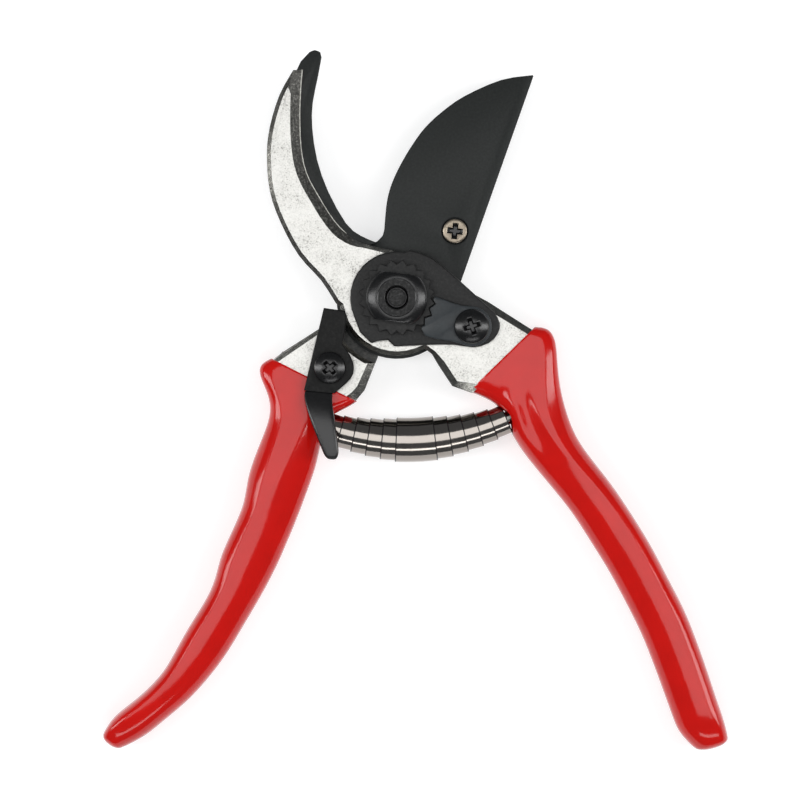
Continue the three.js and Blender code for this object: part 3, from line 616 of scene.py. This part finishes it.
def smooth_points(rows, steps):
    """Points on a Catmull-Rom curve through the rows."""
    points = []
    padded = [rows[0]] + list(rows) + [rows[-1]]
    for p0, p1, p2, p3 in zip(padded, padded[1:], padded[2:], padded[3:]):
        for k in range(steps):
            t = k / steps
            points.append([
                0.5 * (2 * b + (c - a) * t + (2 * a - 5 * b + 4 * c - d) * t * t
                       + (3 * b - a - 3 * c + d) * t ** 3)
                for a, b, c, d in zip(p0, p1, p2, p3)])
    return points + [rows[-1]]


def refined(rows):
    """The rows with one more between each two."""
    return list(zip(*(smooth_points(edge, 2) for edge in zip(*rows))))


LEFT_EDGES = refined(LEFT_EDGES)
RIGHT_EDGES = refined(RIGHT_EDGES)
LEFT_FLATS = [(0, -0.72, 0.85), (2, -0.62, 0.6), (5, -0.57, 0.2), (7, -0.55, 0.0), (9, -0.55, -0.4),
              (18, -0.55, -0.4)]
LEFT_CREASES = [(0, 1.0), (6, 0.8), (9, 0.0)]
RIGHT_FLATS = [(0, -0.8, 0.3), (2, -0.65, 0.25), (4.5, -0.42, 0.0), (7, -0.4, -0.25), (9, -0.55, -0.4),
               (17, -0.55, -0.4)]
RIGHT_CREASES = [(0, 1.0), (5, 0.8), (8, 0.0)]
RIGHT_BOSS = (4.6, 2.6, 1.3)
print("stations:", len(LEFT_EDGES), "left,", len(RIGHT_EDGES), "right")

# %% [markdown]
# The front ring is capped and its edge creased, so it stays sharp where the skin was trimmed. The
# far ring is extruded in shrinking steps, which subdivision then turns into a round end.

# %% Close the ends, crease the front edge and round the skin
FRONT_CREASE = 0.9
END_STEPS = ((0.55, 0.85), (0.5, 0.72), (0.3, 0.5))


def select_ring(piece, start):
    """Selects, in edit mode, the ring of points that starts at an index."""
    bpy.ops.mesh.select_all(action="DESELECT")
    mesh = bmesh.from_edit_mesh(piece.data)
    mesh.verts.ensure_lookup_table()
    for k in range(start, start + GRIP_SIDES):
        mesh.verts[k].select = True
    mesh.select_flush(True)
    bmesh.update_edit_mesh(piece.data)


def close_grip(piece, edges):
    edit_all(piece)
    bpy.ops.mesh.select_mode(type="VERT")
    select_ring(piece, 0)
    bpy.ops.transform.edge_crease(value=FRONT_CREASE)
    bpy.ops.mesh.edge_face_add()
    select_ring(piece, (len(edges) - 1) * GRIP_SIDES)
    step = (Vector(edges[-1][0]) + Vector(edges[-1][1]) - Vector(edges[-2][0])
            - Vector(edges[-2][1])).normalized() * MM
    for move, shrink in END_STEPS:
        bpy.ops.mesh.extrude_region_move()
        bpy.ops.transform.translate(value=(step.x * move, step.y * move, 0))
        bpy.ops.transform.resize(value=(shrink, shrink, shrink))
    bpy.ops.mesh.edge_face_add()
    close_up()
    apply_modifier(piece, "SUBSURF", levels=2, render_levels=2)


blade_grip = sweep_grip("vinyl_grip_left", LEFT_EDGES)
settle_grip(blade_grip, LEFT_EDGES, LEFT_FLATS, LEFT_CREASES)
close_grip(blade_grip, LEFT_EDGES)
dress(blade_grip, VINYL, "blade_handle", "red_dip", "blade_grip", angle=50)
hook_grip = sweep_grip("vinyl_grip_right", RIGHT_EDGES)
settle_grip(hook_grip, RIGHT_EDGES, RIGHT_FLATS, RIGHT_CREASES, boss=RIGHT_BOSS)
close_grip(hook_grip, RIGHT_EDGES)
dress(hook_grip, VINYL, "hook_handle", "red_dip", "hook_grip", angle=50)

# %% [markdown]
# ## Forgings
# Both handles are aluminium forgings: a flat blasted face with a bevel ground round it. The bodies
# come from the CAD nodes. Their top is cut off below the bevel, capped, and the cap is inset and
# raised, so the face and its bevel are separate faces that can each have their own finish.

# %% A merged copy of a CAD node
def cad_copy(name, node_name):
    """Copies a CAD node as a new piece, with its corners merged and its flats whole."""
    piece = bpy.data.objects.new(name, frame["nodes"][node_name].data.copy())
    scene.collection.objects.link(piece)
    only(piece)
    bpy.ops.mesh.customdata_custom_splitnormals_clear()
    edit_all(piece)
    bpy.ops.mesh.remove_doubles(threshold=0.00001)
    bpy.ops.mesh.dissolve_limited(angle_limit=math.radians(0.5))
    bpy.ops.object.mode_set(mode="OBJECT")
    print(name, "from", node_name, len(piece.data.polygons), "faces")
    return piece


def select_faces(piece, test):
    """Selects, in edit mode, the faces whose centre and normal pass a test."""
    only(piece)
    bpy.ops.object.mode_set(mode="EDIT")
    bpy.ops.mesh.select_mode(type="FACE")
    bpy.ops.mesh.select_all(action="DESELECT")
    mesh = bmesh.from_edit_mesh(piece.data)
    count = 0
    for face in mesh.faces:
        if test(face.calc_center_median(), face.normal):
            face.select = True
            count += 1
    bmesh.update_edit_mesh(piece.data)
    return count


# %% Cap a forging below its bevel and raise a new face
FORGING_TOP = 12.5 * MM
BEVEL_WIDTH = 1.15 * MM
BEVEL_HEIGHT = 0.95 * MM
UNDER_GRIP = 1.0 * MM
BEFORE_GRIP = 1.7 * MM
CORNER_REACH = 1.5 * MM


def cap_forging(piece):
    edit_all(piece)
    bpy.ops.mesh.bisect(plane_co=(0, 0, FORGING_TOP - BEVEL_HEIGHT), plane_no=(0, 0, 1),
                        clear_outer=True, use_fill=True, threshold=0.000001)
    found = select_faces(piece, lambda centre, normal:
                         centre.z > FORGING_TOP - BEVEL_HEIGHT - 0.01 * MM and abs(normal.z) > 0.9)
    bpy.ops.mesh.inset(thickness=BEVEL_WIDTH, depth=BEVEL_HEIGHT, use_even_offset=False)
    bpy.ops.object.mode_set(mode="OBJECT")
    print(piece.name, "cap faces:", found)


def run_into_grip(piece, edges):
    """Draws the end of the front face on under the grip, so that no bevel shows before it."""
    outer, inner = Vector(edges[0][0]) * MM, Vector(edges[0][1]) * MM
    across = (inner - outer).normalized()
    onward = Vector((across.y, -across.x))
    if onward.dot(outer) < 0:
        onward.negate()
    for vertex in piece.data.vertices:
        past = (vertex.co.xy - outer).dot(onward)
        is_top = vertex.co.z > FORGING_TOP - BEVEL_HEIGHT - 0.05 * MM
        if is_top and -BEFORE_GRIP < past < UNDER_GRIP:
            vertex.co.x += onward.x * (UNDER_GRIP - past)
            vertex.co.y += onward.y * (UNDER_GRIP - past)


def widen_bevel(piece, corners, extra):
    """Draws the front face's edge further back from a line of corners, given in millimetres."""
    line = [Vector(corner) * MM for corner in corners]
    for vertex in piece.data.vertices:
        if vertex.co.z < FORGING_TOP - 0.05 * MM:
            continue
        flat = vertex.co.xy
        spots = []
        for start, end in zip(line, line[1:]):
            side = end - start
            share = max(0, min(1, (flat - start).dot(side) / side.length_squared))
            spots.append(start + side * share)
        spot = min(spots, key=lambda place: (place - flat).length)
        away = flat - spot
        if away.length < CORNER_REACH:
            move = away.normalized() * extra * MM
            vertex.co.x += move.x
            vertex.co.y += move.y


print("bevel:", round(BEVEL_WIDTH / MM, 2), "mm wide,", round(BEVEL_HEIGHT / MM, 2), "mm high")

# %% [markdown]
# The front face is blasted, and the bevels and sides are ground, with a darker grey painted on as
# shade. The walls round the blade's butt are painted dark as the shade in that recess. The hook's
# bevel beside the counter blade, and its nose, are painted a dark grey as shade.

# %% Finish a forging face by face, and shape the left one
def is_front(face):
    return face.normal.z > 0.97 and face.center.z > 12 * MM


def is_shaded_by_the_butt(face):
    return face.center.xy.length < 19 * MM and face.center.z < 12 * MM


def is_shaded_beside_counter_blade(face):
    faces_it = face.normal.x > 0.1 or face.center.y > 57 * MM
    return face.center.y > 15 * MM and face.normal.z > 0.2 and faces_it


def finish_forging(piece, node_name):
    # Painted shade: each test below gives its faces a darker material as shade.
    paint_faces(piece, (BLASTED, is_front), (BUTT_SHADE, is_shaded_by_the_butt),
                (SHADED_BEVEL, is_shaded_beside_counter_blade), (GROUND_AND_SHADED, anywhere))
    dress(piece, None, node_name, "forged_aluminium", node_name, angle=20)


left_forging = cad_copy("forged_handle_left", "blade_handle")
cap_forging(left_forging)
widen_bevel(left_forging, [(-5.3, -16.2), (-7.2, -21), (-8.7, -24.8), (-11, -27.1)], 1.1)
run_into_grip(left_forging, LEFT_EDGES)
finish_forging(left_forging, "blade_handle")

# %% [markdown]
# On the hook the bevel is wider on the side that faces the counter blade: it runs down to that
# blade's face. The rim along that side is lowered and the edge of the front face is drawn back.

# %% The hook's own bevels
HOOK_INNER_EDGE = [
    (-8.7, 14.6), (-12.5, 16.6), (-16.8, 21), (-21, 27.6), (-24.3, 34), (-25.7, 41), (-26, 50),
    (-25.7, 57), (-25.3, 61.6),
]
inner_edge = [Vector(point) for point in smooth_points(HOOK_INNER_EDGE, 8)]
COUNTER_BLADE_TOP = 10.3 * MM
INNER_BEVEL_WIDTH = 2.7 * MM
FADE_POINTS = 12
NOSE = Vector((-29.4, 56.6)) * MM


def bevel_hook(piece):
    """Lowers the rim beside the counter blade and draws the face's edge back from it."""
    moved = 0
    for vertex in piece.data.vertices:
        if vertex.co.z < FORGING_TOP - BEVEL_HEIGHT - 0.05 * MM:
            continue
        flat = vertex.co.xy / MM
        near = min(range(len(inner_edge)), key=lambda k: (inner_edge[k] - flat).length)
        away = (inner_edge[near] - flat).length
        fade = min(1, near / FADE_POINTS)
        if vertex.co.z < FORGING_TOP - 0.1 * MM:
            if away < 0.4:
                vertex.co.z += (COUNTER_BLADE_TOP + 0.1 * MM - vertex.co.z) * fade
                moved += 1
        elif away < 2.2 and near < len(inner_edge) - 1:
            along = (inner_edge[near + 1] - inner_edge[near]).normalized()
            inward = Vector((-along.y, along.x))
            width = BEVEL_WIDTH + (INNER_BEVEL_WIDTH - BEVEL_WIDTH) * fade
            spot = inner_edge[near] * MM + inward * width
            vertex.co.x, vertex.co.y = spot.x, spot.y
            moved += 1
    for vertex in piece.data.vertices:
        if vertex.co.z > FORGING_TOP - 0.05 * MM and vertex.co.y > NOSE.y:
            vertex.co.x += (NOSE.x - vertex.co.x) * 0.75
            vertex.co.y += (NOSE.y - vertex.co.y) * 0.85
    print(piece.name, "bevel points moved:", moved)


# %% [markdown]
# The hook has pockets for the rivets under its face, which the cap would leave open. Their walls
# are deleted and the holes filled first.

# %% Shape the hook and the right handle
hook_forging = cad_copy("forged_hook_and_handle", "hook_handle")
RIVETS = [(-21.6, 22.7), (-27.2, 34), (-27.9, 49)]
select_faces(hook_forging, lambda centre, normal: centre.z > 10.7 * MM and centre.z < 12.2 * MM
             and any((centre.xy - Vector(rivet) * MM).length < 2 * MM for rivet in RIVETS))
bpy.ops.mesh.delete(type="FACE")
bpy.ops.mesh.select_all(action="SELECT")
bpy.ops.mesh.fill_holes(sides=24)
cap_forging(hook_forging)
bevel_hook(hook_forging)
widen_bevel(hook_forging, [(11.4, -18.3), (15, -23.7), (19.2, -24.5)], 0.7)
widen_bevel(hook_forging, [(36.3, -8.1), (24.6, -1), (12, 5.8)], 0.8)
run_into_grip(hook_forging, RIGHT_EDGES)
finish_forging(hook_forging, "hook_handle")

# %% [markdown]
# The counter blade is held by three rivets. Only their flat heads show, on the back. A head's
# inner face is inset and extruded to make the shank.

# %% Rivets
for number, place in enumerate(RIVETS, 1):
    rivet = cylinder(f"rivet_{number}", 2, 0.7, (*place, 8.65), vertices=32)
    select_faces(rivet, lambda centre, normal: normal.z > 0.9)
    bpy.ops.mesh.inset(thickness=0.5 * MM)
    bpy.ops.mesh.extrude_region_move(TRANSFORM_OT_translate={"value": (0, 0, 1.2 * MM)})
    bpy.ops.object.mode_set(mode="OBJECT")
    break_edges(rivet, 0.15)
    dress(rivet, ZINC, "hook_handle", "bright_steel", f"counter_blade_rivet_{number}")

# %% [markdown]
# ## Volute spring
# The spring is a steel strip wound so that its turns slide into each other like a telescope. Each
# turn is a short thin tube on one arc. A circle is stood across the arc and spun round the arc's
# centre, and a wall is given to the tube. Each turn rides on its own body, except the last one at the
# right end, which rides on the hook's handle.

# %% Spin the turns
SPRING_CENTRE = Vector((2.5, 28.8, 7.5)) * MM
SPRING_RADIUS = 67 * MM
MIDDLE_ANGLE = 2.2
MIDDLE_RADIUS = 6.0
MIDDLE_LENGTH = 10.8
MIDDLE_NUMBER = 6
TURN_COUNT = 11
TURN_LENGTH = 6.0
WALL = 0.3
TURN_STEP = 0.3
END_SHADOW_LENGTH = 0.4
RANK_STEP = 0.4
RIGHT_PITCH = 4.0
LEFT_PITCH = 3.8


def arc_degrees(length):
    """The angle that a length in millimetres covers on the spring's arc."""
    return math.degrees(length * MM / SPRING_RADIUS)


def arc_angle(point):
    """Where a point is along the spring's arc, in radians from straight down."""
    return math.atan2(point.x - SPRING_CENTRE.x, SPRING_CENTRE.y - point.y)


def arc_bar(name, radius, start, sweep, steps, is_capped=False):
    """Stands a circle across the spring's arc at an angle in degrees, and spins it along the arc."""
    turn = math.radians(start)
    place = SPRING_CENTRE + Vector((math.sin(turn), -math.cos(turn), 0)) * SPRING_RADIUS
    bpy.ops.object.select_all(action="DESELECT")
    bpy.ops.mesh.primitive_circle_add(vertices=48, radius=radius * MM, location=place,
                                      rotation=(0, math.pi / 2, turn))
    piece = settled(name)
    edit_all(piece)
    bpy.ops.mesh.spin(steps=steps, angle=math.radians(sweep), center=SPRING_CENTRE, axis=(0, 0, -1))
    bpy.ops.mesh.select_all(action="SELECT")
    bpy.ops.mesh.remove_doubles(threshold=0.000001)
    if is_capped:
        bpy.ops.mesh.fill_holes(sides=0)
    close_up()
    return piece


def spring_turn(number):
    """Turn 01 is at the left end, 06 is the wide middle one and 11 is at the right end."""
    rank = abs(number - MIDDLE_NUMBER)
    side = -1 if number < MIDDLE_NUMBER else 1
    pitch = RIGHT_PITCH if number > MIDDLE_NUMBER else LEFT_PITCH
    length = TURN_LENGTH if rank else MIDDLE_LENGTH
    outer_end = MIDDLE_ANGLE + side * arc_degrees(MIDDLE_LENGTH / 2 + rank * pitch)
    return arc_bar(f"spring_coil_{number:02d}", MIDDLE_RADIUS - RANK_STEP * rank, outer_end,
                   -side * arc_degrees(length), round(length / TURN_STEP))


print("spring: turns of", TURN_LENGTH, "mm, the middle one", MIDDLE_LENGTH, "mm")

# %% [markdown]
# Each grip has a round seat moulded into its inner side, where the end of the spring sits on a peg
# and the coils slide in as the handles close. The seat is cut with a bar bent along the spring's
# arc.

# %% Seats in the grips
SEAT_LENGTH = 8.0
SEAT_PAST_END = 1.6
SEAT_STEPS = 6
RIGHT_SEAT_RADIUS = 4.9
LEFT_SEAT_RADIUS = 5.7


def cut_seat(grip, spring_end, side, radius):
    """side is 1 for the right end of the spring and -1 for the left."""
    bar = arc_bar("seat_cutter", radius, spring_end - side * arc_degrees(SEAT_LENGTH),
                  side * arc_degrees(SEAT_LENGTH + SEAT_PAST_END), SEAT_STEPS, is_capped=True)
    middle = sum((v.co for v in bar.data.vertices), Vector()) / len(bar.data.vertices)
    print("seat bar middle", [round(c / MM, 1) for c in middle])
    cut_away(grip, [bar])
    only(grip)
    bpy.ops.object.shade_smooth_by_angle(angle=math.radians(50))


RIGHT_END = MIDDLE_ANGLE + arc_degrees(MIDDLE_LENGTH / 2 + 5 * RIGHT_PITCH)
LEFT_END = MIDDLE_ANGLE - arc_degrees(MIDDLE_LENGTH / 2 + 5 * LEFT_PITCH)
cut_seat(hook_grip, RIGHT_END, 1, RIGHT_SEAT_RADIUS)
cut_seat(blade_grip, LEFT_END, -1, LEFT_SEAT_RADIUS)

# %% [markdown]
# A thin dark line of painted shadow runs round each turn where the next one comes out of it, as the
# shade in that step. The faces nearest to the ends take the black oxide material as that shadow.

# %% The eleven turns
for number in range(1, TURN_COUNT + 1):
    coil = spring_turn(number)
    node_name = f"spring_turn_{number:02d}"
    apply_modifier(coil, "SOLIDIFY", thickness=WALL * MM, offset=-1)
    break_edges(coil, 0.12, segments=3, angle=50)
    angles = [arc_angle(v.co) for v in coil.data.vertices]
    first, last = min(angles), max(angles)
    reach = math.radians(arc_degrees(END_SHADOW_LENGTH))
    # Painted shadow: the faces at each turn's ends are black, as the shade where the next turn comes
    # out.
    paint_faces(coil, (NICKEL, lambda face: first + reach <= arc_angle(face.center) <= last - reach),
                (OXIDE_AND_SHADE, anywhere))
    body = "hook_handle" if number == TURN_COUNT else node_name
    dress(coil, None, body, "nickel", node_name, angle=35)
    low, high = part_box(node_name)
    across = [v.co.x / MM for v in coil.data.vertices]
    print("  CAD box x", round(low.x / MM, 2), round(high.x / MM, 2), "piece x",
          round(min(across), 2), round(max(across), 2))

# %% [markdown]
# ## Screws
# The two black screws are domed Phillips screws. A cylinder's top is inset and raised a few times
# to make the dome. The cross is cut with two tapered bars, so its walls slope as a driver's tip
# does.

# %% A domed Phillips screw
CROSS_TAPER = 0.4
RIM_HEIGHT = 0.7
DOME_ANGLES = ((0, 18), (18, 36), (36, 54), (54, 72))


def cross_cutter(place, length, width, depth, turn):
    """Two crossed bars that narrow downwards, in millimetres, with their middle at a place."""
    bars = []
    for angle in (turn, turn + 90):
        bpy.ops.object.select_all(action="DESELECT")
        bpy.ops.mesh.primitive_cube_add(size=1, location=[value * MM for value in place])
        bar = bpy.context.object
        bar.scale = (length * MM, width * MM, 2 * depth * MM)
        bar.rotation_euler.z = math.radians(angle)
        bpy.ops.object.transform_apply(location=False, rotation=True, scale=True)
        select_faces(bar, lambda centre, normal: normal.z < -0.9)
        bpy.ops.transform.resize(value=(CROSS_TAPER, CROSS_TAPER, 1))
        bpy.ops.object.mode_set(mode="OBJECT")
        bars.append(bar)
    return bars


def domed_screw(name, x, y, radius, bottom, height, turn):
    """Millimetres, with the head's underside at bottom."""
    piece = cylinder(name, radius, RIM_HEIGHT, (x, y, bottom + RIM_HEIGHT / 2))
    select_faces(piece, lambda centre, normal: normal.z > 0.9)
    rise = height - RIM_HEIGHT
    for start, end in DOME_ANGLES:
        across = radius * (math.cos(math.radians(start)) - math.cos(math.radians(end)))
        up = rise * (math.sin(math.radians(end)) - math.sin(math.radians(start)))
        bpy.ops.mesh.inset(thickness=across * MM, depth=up * MM)
    bpy.ops.object.mode_set(mode="OBJECT")
    cut_away(piece, cross_cutter((x, y, bottom + height - 0.1), 1.48 * radius, 1.9, 1.8, turn))
    break_edges(piece, 0.08)
    return piece


segment_screw = domed_screw("segment_phillips_screw", 20.1, -7.7, 4.7, 16.6, 2.6, 18)
dress(segment_screw, OXIDE_AND_SHADE, "hook_handle", "black_oxide", "segment_screw")
latch_screw = domed_screw("latch_phillips_screw", -18, -18.8, 4.25, 16.0, 2.2, 40)
dress(latch_screw, OXIDE_AND_SHADE, "blade_handle", "black_oxide", "latch_screw")

# %% [markdown]
# The blade's screw is zinc plated, with a flat head that sits in a round pocket, flush with the
# blade. Its rim is rounded, and its cross is painted black as the shade in that recess.

# %% The flat Phillips screw of the blade
SCREW_AXIS = (15.7, 18.2)


def is_in_shaded_cross(face):
    from_axis = (face.center.xy - Vector(SCREW_AXIS) * MM).length
    return from_axis < 2.6 * MM and face.center.z < 8.0 * MM


blade_screw = cylinder("blade_phillips_screw", 3.25, 1.2, (*SCREW_AXIS, 7.45))
select_faces(blade_screw, lambda centre, normal: normal.z > 0.9)
bpy.ops.mesh.inset(thickness=0.45 * MM, depth=0.12 * MM)
bpy.ops.object.mode_set(mode="OBJECT")
cut_away(blade_screw, cross_cutter((*SCREW_AXIS, 8.15), 6.2, 2.2, 1.1, -7))
break_edges(blade_screw, 0.1)
# Painted shade: the faces in the cross take black oxide.
paint_faces(blade_screw, (OXIDE_AND_SHADE, is_in_shaded_cross), (ZINC, anywhere))
dress(blade_screw, None, "blade_handle", "bright_steel", "blade_screw")

# %% [markdown]
# ## Adjusting nut and bolt
# The nut is a turned cone with two flats, on a flange with twenty pointed teeth. The cone is a
# cylinder whose top is inset and raised, and the flats are cut with two planes. The flange starts
# as a ring of points, and every other point is drawn in to make the teeth.

# %% Toothed flange
FLANGE_TEETH = 20
HALF_PITCH = 180 / FLANGE_TEETH
TIP = 10.3
ROOT = 8.95
FLANGE_BOTTOM = (0, 0, 14.9 * MM)
bpy.ops.object.select_all(action="DESELECT")
bpy.ops.mesh.primitive_circle_add(vertices=2 * FLANGE_TEETH, radius=TIP * MM, fill_type="NGON",
                                  location=FLANGE_BOTTOM)
flange = settled("nut_flange")
bpy.ops.object.mode_set(mode="EDIT")
bpy.ops.mesh.select_all(action="DESELECT")
mesh = bmesh.from_edit_mesh(flange.data)
for vertex in mesh.verts:
    step = round(math.degrees(math.atan2(vertex.co.y, vertex.co.x)) / HALF_PITCH)
    vertex.select = step % 2 == 0
bmesh.update_edit_mesh(flange.data)
bpy.ops.transform.resize(value=(ROOT / TIP, ROOT / TIP, 1), center_override=FLANGE_BOTTOM)
bpy.ops.mesh.select_all(action="SELECT")
bpy.ops.mesh.extrude_region_move(TRANSFORM_OT_translate={"value": (0, 0, 1.4 * MM)})
close_up()
break_edges(flange, 0.16, segments=1, angle=50)
dress(flange, PAINT, "hook_handle", "black_oxide", "adjusting_nut", angle=25)

# %% Nut body: cone and flats
NUT_STEPS = ((0.25, 0.35), (0.45, 0.4), (0.65, 0.4), (0.8, 0.3), (0.9, 0.2), (0.12, -0.14))
NUT_TILT = math.radians(-8.7)
HALF_ACROSS_FLATS = 6.5 * MM
nut = cylinder("adjusting_nut_body", 8.25, 2.1, (0, 0, 17.05), vertices=96)
select_faces(nut, lambda centre, normal: normal.z > 0.9)
for inwards, upwards in NUT_STEPS:
    bpy.ops.mesh.inset(thickness=inwards * MM, depth=upwards * MM)
for side in (1, -1):
    outward = Vector((-math.sin(NUT_TILT), math.cos(NUT_TILT), 0)) * side
    edit_all(nut)
    bpy.ops.mesh.bisect(plane_co=outward * HALF_ACROSS_FLATS, plane_no=outward, clear_outer=True,
                        use_fill=True)
bpy.ops.object.mode_set(mode="OBJECT")
print(nut.name, "height", round(nut.dimensions.z / MM, 2), "mm")

# %% The nut's hole, edges and finish
cut_away(nut, [cylinder("bolt_hole", 3.2, 12, (0, 0, 17))])
break_edges(nut, 0.12, angle=35)
break_edges(nut, 0.06, segments=1, angle=50)
paint_faces(nut, (ROUGH_OXIDE, lambda face: face.normal.z > 0.98 and face.center.z > 19 * MM),
            (OXIDE_AND_SHADE, anywhere))
dress(nut, None, "hook_handle", "black_oxide", "adjusting_nut", angle=25)

# %% [markdown]
# The pivot bolt's end shows in the nut. Its rim is turned, and its centre is a shallow rough
# recess. The bolt is a cylinder with a wide low head under the shears.

# %% Pivot bolt
BOLT_STEPS = ((2.2, 0), (0, 11), (1.35, 0), (0, 6.1), (0.3, 0.3), (0.35, 0), (0.1, -0.35))
bolt = cylinder("pivot_bolt_turned", 6.5, 1.5, (0, 0, 0.75))
select_faces(bolt, lambda centre, normal: normal.z > 0.9)
for radius_change, rise in BOLT_STEPS:
    if radius_change > 0:
        bpy.ops.mesh.inset(thickness=radius_change * MM, depth=rise * MM)
    else:
        bpy.ops.mesh.extrude_region_move(TRANSFORM_OT_translate={"value": (0, 0, rise * MM)})
bpy.ops.object.mode_set(mode="OBJECT")
paint_faces(bolt, (ROUGH_OXIDE, lambda face: face.normal.z > 0.98 and face.center.z > 18 * MM),
            (OXIDE_AND_SHADE, anywhere))
dress(bolt, None, "hook_handle", "black_oxide", "pivot_bolt", angle=25)

# %% [markdown]
# ## Blades and plates
# The blades, the lock plate and the toothed segment are cut from sheet. Their bodies come from the
# CAD nodes, and a small bevel breaks each sharp edge, because a real edge always catches a line of
# light.

# %% Break the edges of the sheet parts
def sheet_part(name, node_name, material, body, slot, width):
    piece = cad_copy(name, node_name)
    break_edges(piece, width, loop_slide=True)
    dress(piece, material, body, slot, node_name, angle=25)


sheet_part("cutting_blade_coated", "cutting_blade", FILM, "blade_handle", "black_coating", 0.12)
sheet_part("counter_blade_coated", "counter_blade", FILM, "hook_handle", "black_coating", 0.45)
sheet_part("lock_plate_painted", "lock_plate", PAINT, "hook_handle", "black_plate", 0.18)
sheet_part("toothed_segment_grey", "toothed_segment", PHOSPHATE, "hook_handle", "blue_steel", 0.12)

# %% [markdown]
# ## Thumb latch
# The latch is a flat painted plate with a tab bent up from it for the thumb. The flat part is cut
# from the CAD node at the bend. The tab is swept as a rounded bar whose ring is extruded from
# station to station, and it ends round.

# %% The latch's flat part
latch_plate = cad_copy("thumb_latch_plate", "thumb_latch")
edit_all(latch_plate)
bpy.ops.mesh.bisect(plane_co=(-21 * MM, -25.2 * MM, 0), plane_no=(-0.1, -1, 0), clear_outer=True,
                    use_fill=True)
bpy.ops.object.mode_set(mode="OBJECT")
break_edges(latch_plate, 0.2)
dress(latch_plate, MATT_PAINT, "thumb_latch", "black_plate", "thumb_latch", angle=25)

# %% The latch's tab
LATCH_BACK = 13.7
TAB_THICKNESS = 2.0
TAB_STATIONS = [
    ((-24.4, -24.2), (-16.9, -24.9), 0.0), ((-25.0, -25.6), (-17.3, -26.3), 0.35),
    ((-24.7, -28.2), (-17.2, -28.8), 1.2), ((-23.4, -32.4), (-16.6, -32.8), 2.1),
    ((-21.9, -36.2), (-16.1, -36.4), 2.35), ((-20.5, -39.6), (-15.6, -39.8), 2.4),
    ((-19.7, -41.8), (-15.5, -41.9), 2.3), ((-18.9, -43.0), (-16.0, -43.1), 2.2),
]
TAB_RING = 16
TAB_ROUNDING = 0.45


def tab_station(left, right, rise):
    return station_between(left, right, LATCH_BACK + rise, LATCH_BACK + rise + TAB_THICKNESS)


def square_up(piece):
    """Draws a circle out towards a rounded square."""
    for vertex in piece.data.vertices:
        for axis in (0, 2):
            value = vertex.co[axis] / MM
            vertex.co[axis] = math.copysign(abs(value) ** TAB_ROUNDING, value) * MM


tab = sweep("thumb_latch_tab", TAB_RING, [tab_station(*row) for row in TAB_STATIONS], square_up)
print(tab.name, "stations:", len(TAB_STATIONS))

# %% Close and round the tab
bpy.ops.mesh.extrude_region_move()
bpy.ops.transform.resize(value=(0.5, 0.5, 0.5))
bpy.ops.transform.translate(value=(0.1 * MM, -0.35 * MM, 0))
bpy.ops.mesh.edge_face_add()
bpy.ops.mesh.select_all(action="DESELECT")
bpy.ops.mesh.select_non_manifold()
bpy.ops.mesh.edge_face_add()
close_up()
apply_modifier(tab, "SUBSURF", levels=2, render_levels=2)
dress(tab, OXIDE_AND_SHADE, "thumb_latch", "black_plate", "thumb_latch", angle=50)
